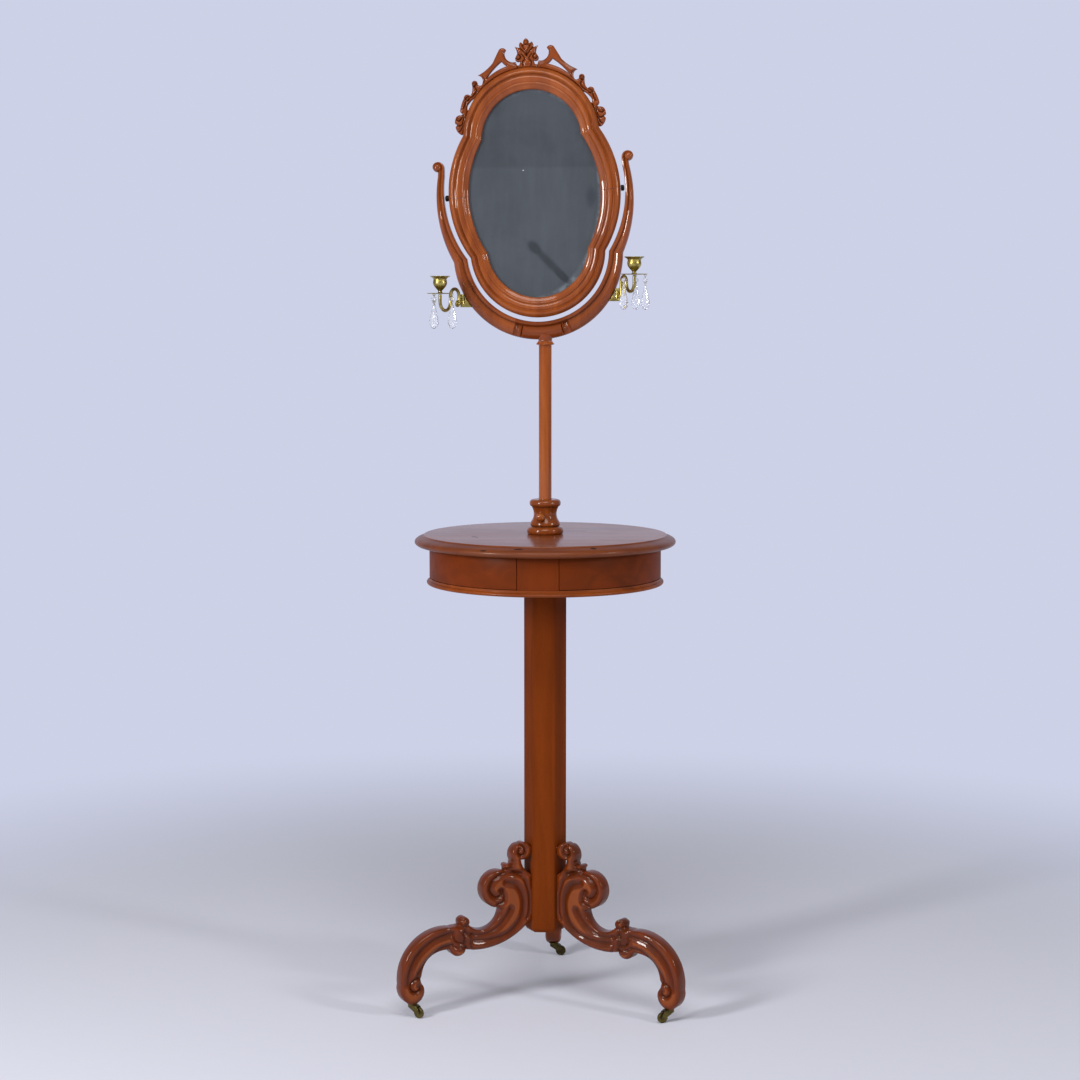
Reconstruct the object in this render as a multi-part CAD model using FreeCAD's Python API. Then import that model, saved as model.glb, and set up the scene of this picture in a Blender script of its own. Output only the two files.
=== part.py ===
"""Shaving stand: a round drum table on a tripod column, with a tilting mirror and two candle sconces.

Millimetres, +Z up.  The origin is on the floor at the column's axis, and the front faces -Y.
"""

import FreeCAD
import Part

import math
import os
from FreeCAD import Vector

# ------------------------------------------------------------------ driving sizes
RUNNING_FIT = 0.05          # radial clearance of a turning or sliding fit
SEAT_GAP = 0.3              # what stays between pieces that move past each other

# castors
WHEEL_DIAMETER = 18.8
WHEEL_WIDTH = 7.0
WHEEL_TRAIL = 14.0          # from the swivel axis to the axle
CASTOR_HEIGHT = 24.5        # floor to the flat under the foot
CASTOR_CIRCLE = 254.0       # radius of the circle through the three swivels
AXLE_DIAMETER = 3.0
SPINDLE_DIAMETER = 4.0
SPINDLE_LENGTH = 20.0
PLATE_DIAMETER = 17.0
PLATE_THICKNESS = 1.2
CHEEK_THICKNESS = 1.6
CASTOR_HEADINGS = {"left": 330.0, "right": 210.0, "rear": 355.0}

# legs
LEG_AZIMUTHS = {"left": -60.0, "right": 60.0, "rear": 180.0}
LEG_THICKNESS = 30.0
HOLLOW_DEPTH = 3.0
TONGUE_DEPTH = 9.0
TONGUE_NECK = 14.0
TONGUE_TAIL = 19.0

# column
COLUMN_FLATS = 64.0
COLUMN_BOTTOM = 123.5
COLUMN_CHAMFER = 7.0
COLUMN_BORE = 26.0
COLUMN_SOLID_FOOT = 30.0
TENON_DIAMETER = 52.0

# drum table
TABLE_HEIGHT = 820.0
TABLE_DIAMETER = 450.0
TOP_THICKNESS = 18.5
TOP_FLAT_DIAMETER = 417.0
DRUM_DIAMETER = 399.0
DRUM_HEIGHT = 66.5          # floor board and drawers together
FLOOR_THICKNESS = 11.0
MOULDING_HEIGHT = 7.0
MOULDING_PROJECTION = 5.0
BLOCK_WIDTH = 69.0          # the fixed block between the two drawers
BLOCK_DEPTH = 28.0
DIVIDER_THICKNESS = 8.0
GUIDE_LENGTH = 60.0

# drawers
DRAWER_SEAM = 0.8
DRAWER_FRONT_THICKNESS = 12.0
DRAWER_BACK_THICKNESS = 8.0
DRAWER_BACK_DROP = 6.0
DRAWER_BOTTOM_THICKNESS = 5.0
RUNNER_WIDTH = 16.0
RUNNER_HEIGHT = 4.5
CLEAT_WIDTH = 9.0
FINGER_NOTCH = 3.0

# pole and its collar
POLE_DIAMETER = 22.0
POLE_TOP = 1151.0
POLE_LENGTH = 700.0
POLE_RING_DIAMETER = 31.6
POLE_RING_HEIGHT = 7.0
SPIGOT_DIAMETER = 12.0
SPIGOT_LENGTH = 20.0
COLLAR_HEIGHT = 60.0
COLLAR_BASE_DIAMETER = 63.0
COLLAR_STEP_DIAMETER = 49.0
COLLAR_WAIST_DIAMETER = 39.5
COLLAR_TOP_DIAMETER = 54.0
COLLAR_SPIGOT_DIAMETER = 36.0
SCREW_AZIMUTH = -13.0
SCREW_HEIGHT = 31.0         # above the table top
SCREW_DIAMETER = 6.0
KNOB_CLEARANCE = 2.2        # from the collar's waist to the knob
KNOB_DIAMETER = 14.5

# head: yoke and mirror, drawn upright above the pole's top and then leaned together
HEAD_LEAN = 3.3
HEAD_SHIFT = -3.7           # the head sits a little to the left on its boss
YOKE_THICKNESS = 25.0
YOKE_BEAD_WIDTH = 8.0
YOKE_BEAD_HEIGHT = 3.0
YOKE_LOBE_CENTRE = 154.6    # height of the inner arc's centre above the pole's top
YOKE_LOBE_INNER = 121.2
YOKE_OUTER_CENTRE = 147.5
YOKE_LOBE_OUTER = 144.6
YOKE_BASE_ANGLE = 21.0      # half the angle that the base block takes of the lower lobe
YOKE_SCROLL_RADIUS = 8.6
YOKE_BOSS_DIAMETER = 24.0
PIVOT_HEIGHT = 250.5
PIVOT_DIAMETER = 6.0
PIVOT_COLLAR_DIAMETER = 10.0
PIVOT_DEPTH = 12.0          # how far the pin enters the mirror's frame
PIVOT_END = 165.0           # how far out the shank reaches, inside the arm

FRAME_THICKNESS = 24.0
FRAME_CLEARANCE = 6.9       # between the yoke's lobe and the frame's lower edge
CORNER_RISE = 106.7         # from the frame's lowest or highest edge to its corners
MOULDING_WIDTH = 34.2
FRAME_BACK = 10.0           # from the glass's front face to the frame's back
REBATE_WIDTH = 8.0
GLASS_THICKNESS = 4.0
GLASS_OVERLAP = 6.5
BACKBOARD_THICKNESS = 4.5
CREST_THICKNESS = 12.0
CREST_BACK = 7.0
CREST_RIM = 5.5

# sconces
SCONCE_REACH = 66.0
SCONCE_BAR = 5.6
KNUCKLE_DIAMETER = 8.0
KNUCKLE_HEIGHT = 22.0
LUG_HEIGHT = 5.0
HINGE_CLEARANCE = 7.65      # from the yoke's outer edge to the hinge pin's axis
BRACKET_REACH = 22.0        # from the pin to inside the yoke, before the yoke trims it
HINGE_PIN_DIAMETER = 3.6
PAN_DIAMETER = 45.0
PAN_THICKNESS = 1.2
CUP_STEM_DIAMETER = 6.8
CUP_HEIGHT = 29.0
CUP_RIM_DIAMETER = 34.0
CUP_BODY_DIAMETER = 23.5
CANDLE_DIAMETER = 19.0
CANDLE_DEPTH = 13.5
DROP_CIRCLE = 41.0
BEAD_DIAMETER = 9.0
PENDANT_LENGTH = 41.0
PENDANT_WIDTH = 16.0
PENDANT_THICKNESS = 8.0
WIRE_DIAMETER = 1.0
DROP_EYE_DROP = 0.3        # from the pan's underside down to the hanger's top

# ------------------------------------------------------------------ places worked out from the sizes
COLUMN_FACE = COLUMN_FLATS / 2
TOP_UNDERSIDE = TABLE_HEIGHT - TOP_THICKNESS
DRUM_BOTTOM = TOP_UNDERSIDE - DRUM_HEIGHT
DRAWER_FLOOR = DRUM_BOTTOM + FLOOR_THICKNESS
DRUM_RADIUS = DRUM_DIAMETER / 2
BLOCK_SIDE = BLOCK_WIDTH / 2
DRAWER_FACE = BLOCK_SIDE + DRAWER_SEAM
POLE_BOTTOM = POLE_TOP - POLE_LENGTH
FRAME_FRONT = FRAME_BACK - FRAME_THICKNESS
YOKE_BACK = YOKE_THICKNESS / 2
YOKE_FACE = YOKE_BACK - YOKE_THICKNESS + YOKE_BEAD_HEIGHT


# ------------------------------------------------------------------ drawing helpers
def wire(start, *steps, level=0.0):
    """A closed wire in the XZ plane at y = level: a step is an end point, or (point on the arc, end point)."""
    def place(point):
        return Vector(point[0], level, point[1])

    edges = []
    here = start
    for step in steps:
        if isinstance(step[0], tuple):
            via, end = step
            edges.append(Part.Arc(place(here), place(via), place(end)).toShape())
        else:
            end = step
            edges.append(Part.LineSegment(place(here), place(end)).toShape())
        here = end
    if math.dist(here, start) > 1e-6:
        edges.append(Part.LineSegment(place(here), place(start)).toShape())
    return Part.Wire(edges)


def slab(outline, front, back):
    """The outline drawn at y = 0, made solid from y = front to y = back."""
    solid = Part.Face(outline).extrude(Vector(0, back - front, 0))
    solid.translate(Vector(0, front, 0))
    return solid


def polar(centre, radius, degrees):
    """A point of a circle in the XZ plane, the angle counted from +X towards +Z."""
    angle = math.radians(degrees)
    return (centre[0] + radius * math.cos(angle), centre[1] + radius * math.sin(angle))


def ring_sector(centre, inner, outer, first, last):
    """The wire of a piece of a flat ring between two angles."""
    middle = (first + last) / 2
    return wire(
        polar(centre, outer, first),
        (polar(centre, outer, middle), polar(centre, outer, last)),
        polar(centre, inner, last),
        (polar(centre, inner, middle), polar(centre, inner, first)),
    )


def disc_wire(centre, radius):
    return wire(
        polar(centre, radius, 0),
        (polar(centre, radius, 90), polar(centre, radius, 180)),
        (polar(centre, radius, 270), polar(centre, radius, 0)),
    )


def turned(start, *steps):
    """A solid turned about the Z axis from its half outline (radius, height)."""
    return Part.Face(wire(start, *steps)).revolve(Vector(0, 0, 0), Vector(0, 0, 1), 360)


def rod(diameter, start, end):
    """A round bar from one point to another."""
    along = Vector(*end) - Vector(*start)
    return Part.makeCylinder(diameter / 2, along.Length, Vector(*start), along)


def box(low, high):
    return Part.makeBox(high[0] - low[0], high[1] - low[1], high[2] - low[2], Vector(*low))


def joined(*solids):
    """Solids of one piece of material, made one."""
    whole = solids[0]
    for solid in solids[1:]:
        whole = whole.fuse(solid)
    return whole.removeSplitter()


def turned_about_z(shape, degrees):
    copy = shape.copy()
    copy.rotate(Vector(0, 0, 0), Vector(0, 0, 1), degrees)
    return copy


def moved(shape, x, y, z):
    copy = shape.copy()
    copy.translate(Vector(x, y, z))
    return copy


def mirrored(shape, about=0.0):
    """The shape on the other side of the plane x = about."""
    return shape.mirror(Vector(about, 0, 0), Vector(1, 0, 0))


def compass(azimuth):
    """The level direction at an azimuth, 0 to the front and 90 to the right."""
    angle = math.radians(azimuth)
    return (math.sin(angle), -math.cos(angle))


# ------------------------------------------------------------------ castors
def castor_plate():
    """The disc under the foot that the crown bears against; the swivel axis is x = y = 0."""
    plate = Part.makeCylinder(PLATE_DIAMETER / 2, PLATE_THICKNESS, Vector(0, 0, CASTOR_HEIGHT - PLATE_THICKNESS))
    hole = Part.makeCylinder(SPINDLE_DIAMETER / 2 + RUNNING_FIT, CASTOR_HEIGHT)
    return plate.cut(hole)


def castor_fork():
    """Spindle, crown and two horn-shaped cheeks with the axle, the wheel trailing towards +X."""
    radius = WHEEL_DIAMETER / 2
    crown_top = CASTOR_HEIGHT - PLATE_THICKNESS - SEAT_GAP
    crown_bottom = WHEEL_DIAMETER + 1.0
    inside = WHEEL_WIDTH / 2 + SEAT_GAP
    outside = inside + CHEEK_THICKNESS
    boss = AXLE_DIAMETER / 2 + 2.2
    axle = (WHEEL_TRAIL, radius)
    cheek = wire(
        (-outside, crown_top),
        (outside, crown_top),
        (polar(axle, radius - 1.4, 84), polar(axle, boss, 35)),
        (polar(axle, boss, -65), polar(axle, boss, -165)),
        (-outside, crown_bottom - 2.0),
    )
    solid = slab(cheek, -outside, outside)
    slot = box((-2 * outside, -inside, 0), (WHEEL_TRAIL + 2 * radius, inside, crown_bottom))
    pin = rod(AXLE_DIAMETER, (WHEEL_TRAIL, -inside, radius), (WHEEL_TRAIL, inside, radius))
    spindle_top = CASTOR_HEIGHT + SPINDLE_LENGTH - SEAT_GAP
    spindle = Part.makeCylinder(SPINDLE_DIAMETER / 2, spindle_top - crown_top, Vector(0, 0, crown_top))
    return joined(solid.cut(slot), pin, spindle)


def castor_wheel():
    """The brass roller on the fork's axle."""
    bore = AXLE_DIAMETER / 2 + RUNNING_FIT
    half = WHEEL_WIDTH / 2
    radius = WHEEL_DIAMETER / 2
    wheel = turned((bore, -half), (radius, -half), (radius, half), (bore, half))
    wheel.rotate(Vector(0, 0, 0), Vector(1, 0, 0), 90)
    return moved(wheel, WHEEL_TRAIL, 0, radius)


def castor_centre(side):
    x, y = compass(LEG_AZIMUTHS[side])
    return CASTOR_CIRCLE * x, CASTOR_CIRCLE * y, 0


# ------------------------------------------------------------------ legs
FOOT_SCROLL = (257.5, 46.0)
FOOT_SCROLL_RADIUS = 22.0
KNEE_CENTRE = (196.0, 67.0)
KNEE_INNER = 45.0
KNEE_OUTER = 82.5
BELLY_CENTRE = (128.0, 203.0)
BELLY_RADIUS = 99.0
C_SCROLL = (94.0, 207.0)
C_SCROLL_RADIUS = 32.5
HOOK = (48.0, 262.0)
HOOK_RADIUS = 21.5
ROOT_LOW = 147.0            # the leg's flat against the column
ROOT_HIGH = 226.0


def leg_outline():
    """The S-scroll's edge (distance from the axis, height), from the column's foot outwards and back."""
    root = COLUMN_FACE
    foot_flat = math.sqrt(FOOT_SCROLL_RADIUS ** 2 - (FOOT_SCROLL[1] - CASTOR_HEIGHT) ** 2)
    return wire(
        (root, ROOT_LOW),
        # belly, leaf under the knee, arch and foot scroll
        ((75.0, 116.0), polar(BELLY_CENTRE, BELLY_RADIUS, -80)),
        (157.0, 108.0),
        ((170.0, 98.0), (186.0, 108.0)),
        polar(KNEE_CENTRE, KNEE_INNER, 99),
        (polar(KNEE_CENTRE, KNEE_INNER, 50), polar(KNEE_CENTRE, KNEE_INNER, 0)),
        polar(FOOT_SCROLL, FOOT_SCROLL_RADIUS, 140),
        (polar(FOOT_SCROLL, FOOT_SCROLL_RADIUS, 190), (FOOT_SCROLL[0] - foot_flat, CASTOR_HEIGHT)),
        (FOOT_SCROLL[0] + foot_flat, CASTOR_HEIGHT),
        # heel, knee, bud and the hollow above the belly
        ((275.4, 37.0), polar(KNEE_CENTRE, KNEE_OUTER + 0.6, -6)),
        (polar(KNEE_CENTRE, KNEE_OUTER, 42), (183.3, 149.6)),
        (168.6, 151.6),
        ((159.5, 165.0), (151.4, 150.6)),
        ((121.5, 138.5), (89.8, 170.0)),
        # notch, C-scroll, bud and the hook that curls back to the column
        polar(C_SCROLL, C_SCROLL_RADIUS, -83),
        (polar(C_SCROLL, C_SCROLL_RADIUS, 10), polar(C_SCROLL, C_SCROLL_RADIUS, 112)),
        ((76.6, 248.0), (68.6, 245.0)),
        polar(HOOK, HOOK_RADIUS, -28),
        (polar(HOOK, HOOK_RADIUS, 20), polar(HOOK, HOOK_RADIUS, 90)),
        (polar(HOOK, HOOK_RADIUS, 112), (root, HOOK[1] + 12.0)),
        (root, HOOK[1] + 2.0),
        ((41.0, 254.8), (51.8, 254.0)),
        ((46.0, 238.5), (root, ROOT_HIGH)),
    )


def dovetail(clearance):
    """The tongue behind the leg's flat; the housing in the column is the same with its clearance."""
    neck = TONGUE_NECK / 2 + clearance
    tail = TONGUE_TAIL / 2 + clearance
    depth = TONGUE_DEPTH + clearance
    face = COLUMN_FACE
    corners = [(face, -neck), (face - depth, -tail), (face - depth, tail), (face, neck), (face, -neck)]
    low = ROOT_LOW + 3.0 - clearance
    height = ROOT_HIGH - ROOT_LOW - 6.0 + 2 * clearance
    base = Part.makePolygon([Vector(x, y, low) for x, y in corners])
    return Part.Face(base).extrude(Vector(0, 0, height))


def leg_hollows():
    """Channels sunk between the raised edges of the knee and the belly."""
    return [
        ring_sector(KNEE_CENTRE, KNEE_INNER + 10.0, KNEE_OUTER - 9.0, 10, 84),
        ring_sector(BELLY_CENTRE, BELLY_RADIUS - 29.0, BELLY_RADIUS - 9.0, 197, 286),
    ]


def leg(side):
    """One carved leg with its tongue, its hollowed sides and the hole for the castor's spindle."""
    half = LEG_THICKNESS / 2
    body = slab(leg_outline(), -half, half)
    for hollow in leg_hollows():
        body = body.cut(slab(hollow, -half - 1.0, -half + HOLLOW_DEPTH))
        body = body.cut(slab(hollow, half - HOLLOW_DEPTH, half + 1.0))
    socket_radius = SPINDLE_DIAMETER / 2 + RUNNING_FIT
    socket = Part.makeCylinder(socket_radius, SPINDLE_LENGTH, Vector(CASTOR_CIRCLE, 0, CASTOR_HEIGHT))
    body = body.cut(socket)
    body = joined(body, dovetail(0.0))
    return turned_about_z(body, LEG_AZIMUTHS[side] - 90.0)


# ------------------------------------------------------------------ column
def column():
    """The hexagonal column, flat to the front, bored for the pole and housed for the three legs."""
    corner = COLUMN_FACE / math.cos(math.radians(30))

    def hexagon(radius, level):
        points = [Vector(*compass(30 + 60 * i), 0) * radius for i in range(7)]
        return Part.makePolygon([Vector(p.x, p.y, level) for p in points])

    shaft_bottom = COLUMN_BOTTOM + COLUMN_CHAMFER
    foot = Part.makeLoft(
        [hexagon(corner - COLUMN_CHAMFER / 2, COLUMN_BOTTOM), hexagon(corner, shaft_bottom)], True, True
    )
    shaft = Part.Face(hexagon(corner, shaft_bottom)).extrude(Vector(0, 0, DRUM_BOTTOM - shaft_bottom))
    tenon = Part.makeCylinder(TENON_DIAMETER / 2, FLOOR_THICKNESS, Vector(0, 0, DRUM_BOTTOM))
    body = joined(foot, shaft, tenon)
    bore_bottom = COLUMN_BOTTOM + COLUMN_SOLID_FOOT
    bore = Part.makeCylinder(COLUMN_BORE / 2, DRAWER_FLOOR - bore_bottom, Vector(0, 0, bore_bottom))
    body = body.cut(bore)
    for azimuth in LEG_AZIMUTHS.values():
        body = body.cut(turned_about_z(dovetail(0.0), azimuth - 90.0))
    return body


# ------------------------------------------------------------------ drum table
def drum_plate(radius, low, high, keep_from=None):
    """A round board, or its part beyond x = keep_from."""
    board = Part.makeCylinder(radius, high - low, Vector(0, 0, low))
    if keep_from is None:
        return board
    return board.common(box((keep_from, -radius, low), (radius, radius, high)))


def table_top():
    """The round top: flat, thumbnail edge, chamfer below, and the hole for the collar's spigot."""
    edge = TABLE_DIAMETER / 2
    flat = TOP_FLAT_DIAMETER / 2
    hole = COLLAR_SPIGOT_DIAMETER / 2
    top = TABLE_HEIGHT
    drop = top - TOP_UNDERSIDE
    return turned(
        (hole, TOP_UNDERSIDE),
        (edge - 5.5, TOP_UNDERSIDE),
        (edge, TOP_UNDERSIDE + 5.0),
        (edge - 0.8, top - drop * 0.50),
        (edge - 6.0, top - drop * 0.22),
        (flat, top),
        (hole, top),
    )


def drum_floor():
    """The board under the drawers with its half-round edge; the column's tenon passes through it."""
    out = DRUM_RADIUS + MOULDING_PROJECTION
    high = DRUM_BOTTOM + MOULDING_HEIGHT
    hole = TENON_DIAMETER / 2
    return turned(
        (hole, DRUM_BOTTOM),
        (out - 2.0, DRUM_BOTTOM),
        (out, DRUM_BOTTOM + MOULDING_HEIGHT * 0.35),
        (out - 1.6, high - 1.0),
        (DRUM_RADIUS, high),
        (DRUM_RADIUS, DRAWER_FLOOR),
        (hole, DRAWER_FLOOR),
    )


def fixed_block(facing):
    """The curved block between the drawers at the front (-1) or the back (+1)."""
    low = DRAWER_FLOOR
    drum = drum_plate(DRUM_RADIUS, low, TOP_UNDERSIDE)
    inner = DRUM_RADIUS - BLOCK_DEPTH
    near, far = sorted((facing * inner, facing * DRUM_RADIUS))
    return drum.common(box((-BLOCK_SIDE, near, low), (BLOCK_SIDE, far, TOP_UNDERSIDE)))


def divider(side):
    """The long board beside a drawer, from the front block to the rear one."""
    reach = DRUM_RADIUS - BLOCK_DEPTH
    near, far = sorted((side * (BLOCK_SIDE - DIVIDER_THICKNESS), side * BLOCK_SIDE))
    return box((near, -reach, DRAWER_FLOOR), (far, reach, TOP_UNDERSIDE))


def pole_guide():
    """The block between the dividers that keeps the pole upright below the top."""
    side = BLOCK_SIDE - DIVIDER_THICKNESS
    half = GUIDE_LENGTH / 2
    bore_radius = POLE_DIAMETER / 2 + RUNNING_FIT
    block = box((-side, -half, DRAWER_FLOOR), (side, half, TOP_UNDERSIDE))
    return block.cut(Part.makeCylinder(bore_radius, DRUM_HEIGHT, Vector(0, 0, DRUM_BOTTOM)))


def drawer_pieces(side):
    """The right drawer's front, back and bottom with its cleats; side -1 gives the left one."""
    low = DRAWER_FLOOR + DRAWER_SEAM
    high = TOP_UNDERSIDE - DRAWER_SEAM
    inside = DRUM_RADIUS - DRAWER_FRONT_THICKNESS
    back_face = DRAWER_FACE + DRAWER_BACK_THICKNESS
    bottom_low = DRAWER_FLOOR + RUNNER_HEIGHT + SEAT_GAP
    bottom_high = bottom_low + DRAWER_BOTTOM_THICKNESS

    front = drum_plate(DRUM_RADIUS, low, high, DRAWER_FACE).cut(drum_plate(inside, low, high))
    back_half = math.sqrt(inside ** 2 - back_face ** 2)
    back = box((DRAWER_FACE, -back_half, bottom_high), (back_face, back_half, high - DRAWER_BACK_DROP))
    bottom = drum_plate(inside, bottom_low, bottom_high, DRAWER_FACE)
    cleat_near = RUNNER_WIDTH / 2 + SEAT_GAP
    for hand in (-1, 1):
        near, far = sorted((hand * cleat_near, hand * (cleat_near + CLEAT_WIDTH)))
        cleat = box((back_face, near, DRAWER_FLOOR + SEAT_GAP), (inside - 6.0, far, bottom_low))
        bottom = bottom.fuse(cleat)
    bottom = bottom.removeSplitter()
    pieces = {"front": front, "back": back, "bottom": bottom}
    if side < 0:
        return {name: mirrored(shape) for name, shape in pieces.items()}
    return pieces


def finger_notch():
    """The worn thumb notch in the lower edge of the right drawer's front, near the block."""
    x = DRAWER_FACE + 22.0
    y = -math.sqrt(DRUM_RADIUS ** 2 - x ** 2)
    height = DRAWER_FLOOR + DRAWER_SEAM
    return Part.makeCylinder(FINGER_NOTCH, 8.0, Vector(x, y - 4.0, height - 0.4), Vector(0, 1, 0))


def drawer_runner(side):
    """The strip on the floor board that the drawer's cleats straddle."""
    near = BLOCK_SIDE
    far = DRUM_RADIUS - DRAWER_FRONT_THICKNESS - 4.0
    first, last = sorted((side * near, side * far))
    half = RUNNER_WIDTH / 2
    return box((first, -half, DRAWER_FLOOR), (last, half, DRAWER_FLOOR + RUNNER_HEIGHT))


# ------------------------------------------------------------------ pole, collar and its screw
def pole():
    """The round sliding pole, its flared ring under the yoke and the spigot that the head turns on."""
    radius = POLE_DIAMETER / 2
    wide = POLE_RING_DIAMETER / 2
    ring_bottom = POLE_TOP - POLE_RING_HEIGHT
    ring_top = POLE_TOP - SEAT_GAP
    return turned(
        (0, POLE_BOTTOM),
        (radius, POLE_BOTTOM),
        (radius, ring_bottom),
        (wide, ring_bottom + 1.4),
        (wide - 0.4, ring_bottom + 2.6),
        (wide - 3.2, ring_top),
        (SPIGOT_DIAMETER / 2, ring_top),
        (SPIGOT_DIAMETER / 2, POLE_TOP + SPIGOT_LENGTH),
        (0, POLE_TOP + SPIGOT_LENGTH),
    )


def screw_frame(shape):
    """Carries a shape drawn along -Y from the axis to the screw's place on the collar."""
    return moved(turned_about_z(shape, SCREW_AZIMUTH), 0, 0, TABLE_HEIGHT + SCREW_HEIGHT)


def collar():
    """The turned socket on the table: torus foot, step, waist and rounded head."""
    bore = POLE_DIAMETER / 2 + RUNNING_FIT
    base = TABLE_HEIGHT
    foot = COLLAR_BASE_DIAMETER / 2
    step = COLLAR_STEP_DIAMETER / 2
    waist = COLLAR_WAIST_DIAMETER / 2
    head = COLLAR_TOP_DIAMETER / 2
    top = base + COLLAR_HEIGHT
    spigot = COLLAR_SPIGOT_DIAMETER / 2
    body = turned(
        (bore, TOP_UNDERSIDE),
        (spigot, TOP_UNDERSIDE),
        (spigot, base),
        (foot, base),
        (foot, base + 10.0),
        (step, base + 17.5),
        (step, base + 22.5),
        (waist, base + 31.0),
        (waist, base + 37.0),
        (head, top - 10.5),
        (head, top - 4.0),
        (head - 6.0, top),
        (bore, top),
    )
    screw_hole = rod(SCREW_DIAMETER + 2 * RUNNING_FIT, (0, -bore, 0), (0, -foot, 0))
    return body.cut(screw_frame(screw_hole))


def thumbscrew():
    """A wooden screw with a rounded knob, whose tip bears on the pole."""
    tip = POLE_DIAMETER / 2 + SEAT_GAP
    knob = KNOB_DIAMETER / 2
    near = COLLAR_WAIST_DIAMETER / 2 + KNOB_CLEARANCE
    far = near + KNOB_DIAMETER
    shank = SCREW_DIAMETER / 2
    screw = turned(
        (0, tip),
        (shank, tip),
        (shank, near),
        (knob, near + knob * 0.6),
        (knob, far - knob * 0.6),
        (shank, far),
        (0, far),
    )
    screw.rotate(Vector(0, 0, 0), Vector(1, 0, 0), 90)
    return screw_frame(screw)


# ------------------------------------------------------------------ head: placing helpers
def in_head(shape):
    """Carries a shape drawn upright above z = 0 to the pole's top and leans it."""
    leaned = moved(shape, HEAD_SHIFT, 0, POLE_TOP)
    leaned.rotate(Vector(0, 0, POLE_TOP), Vector(0, 1, 0), -HEAD_LEAN)
    return leaned


# ------------------------------------------------------------------ yoke
YOKE_CENTRE = (0.0, YOKE_LOBE_CENTRE)
YOKE_RIM_CENTRE = (0.0, YOKE_OUTER_CENTRE)
ARM_INNER_CORNER = (121.0, 146.0)
ARM_OUTER_CORNER = (143.0, 138.5)
ARM_INNER_HIGH = (151.2, PIVOT_HEIGHT + 36.5)
ARM_INNER_MIDDLE = (149.6, PIVOT_HEIGHT - 37.5)
ARM_OUTER_MIDDLE = (166.2, PIVOT_HEIGHT - 35.5)
ARM_OUTER_HIGH = (163.2, PIVOT_HEIGHT + 36.5)
SCROLL_CENTRE = (160.4, PIVOT_HEIGHT + 53.5)


def arm_outline(narrower=0.0):
    """The right arm above the lobe, up to its outward scroll; narrower leaves only the inner bead."""
    inner_corner = ARM_INNER_CORNER
    scroll = YOKE_SCROLL_RADIUS
    if narrower:
        bead = YOKE_BEAD_WIDTH
        return wire(
            inner_corner,
            (ARM_INNER_MIDDLE, ARM_INNER_HIGH),
            (ARM_INNER_HIGH[0] + bead * 0.7, ARM_INNER_HIGH[1]),
            ((ARM_INNER_MIDDLE[0] + bead, ARM_INNER_MIDDLE[1]), (inner_corner[0] + bead, inner_corner[1] - 2.0)),
        )
    below = ARM_OUTER_CORNER[1] - 5.0
    return wire(
        (inner_corner[0], below),
        inner_corner,
        (ARM_INNER_MIDDLE, ARM_INNER_HIGH),
        ((SCROLL_CENTRE[0] - 8.0, SCROLL_CENTRE[1] - 2.0), polar(SCROLL_CENTRE, scroll, 110)),
        (polar(SCROLL_CENTRE, scroll, 0), polar(SCROLL_CENTRE, scroll, -80)),
        ARM_OUTER_HIGH,
        (ARM_OUTER_MIDDLE, ARM_OUTER_CORNER),
        (ARM_OUTER_CORNER[0] - 2.0, below),
    )


def lobe_sector(first, last):
    """Part of the yoke's lower lobe, the angles counted from straight down; it is thickest at the bottom."""
    first, middle, last = first - 90, (first + last) / 2 - 90, last - 90
    outer, inner = YOKE_LOBE_OUTER, YOKE_LOBE_INNER
    return wire(
        polar(YOKE_RIM_CENTRE, outer, first),
        (polar(YOKE_RIM_CENTRE, outer, middle), polar(YOKE_RIM_CENTRE, outer, last)),
        polar(YOKE_CENTRE, inner, last),
        (polar(YOKE_CENTRE, inner, middle), polar(YOKE_CENTRE, inner, first)),
    )


def bead_sector(first, last):
    """The bead along the lobe's inner edge, between the same angles."""
    inner = YOKE_LOBE_INNER
    return ring_sector(YOKE_CENTRE, inner, inner + YOKE_BEAD_WIDTH, first - 90, last - 90)


def yoke_arm():
    """The right arm: lobe from the base block to the corner, the arm and its scroll, with the inner bead."""
    corner = math.degrees(math.atan2(ARM_OUTER_CORNER[0], YOKE_OUTER_CENTRE - ARM_OUTER_CORNER[1]))
    bead_front = YOKE_FACE - YOKE_BEAD_HEIGHT
    lobe = slab(lobe_sector(YOKE_BASE_ANGLE, corner), YOKE_FACE, YOKE_BACK)
    bead = slab(bead_sector(YOKE_BASE_ANGLE, corner), bead_front, YOKE_FACE)
    arm = slab(arm_outline(), YOKE_FACE, YOKE_BACK)
    arm_bead = slab(arm_outline(narrower=1.0), bead_front, YOKE_FACE)
    eye = slab(disc_wire(SCROLL_CENTRE, YOKE_SCROLL_RADIUS - 2.4), bead_front + 1.0, YOKE_FACE)
    body = joined(lobe, bead, arm, arm_bead, eye)
    bore = rod(PIVOT_DIAMETER, (0, 0, PIVOT_HEIGHT), (YOKE_LOBE_OUTER * 2, 0, PIVOT_HEIGHT))
    return body.cut(bore)


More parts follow.
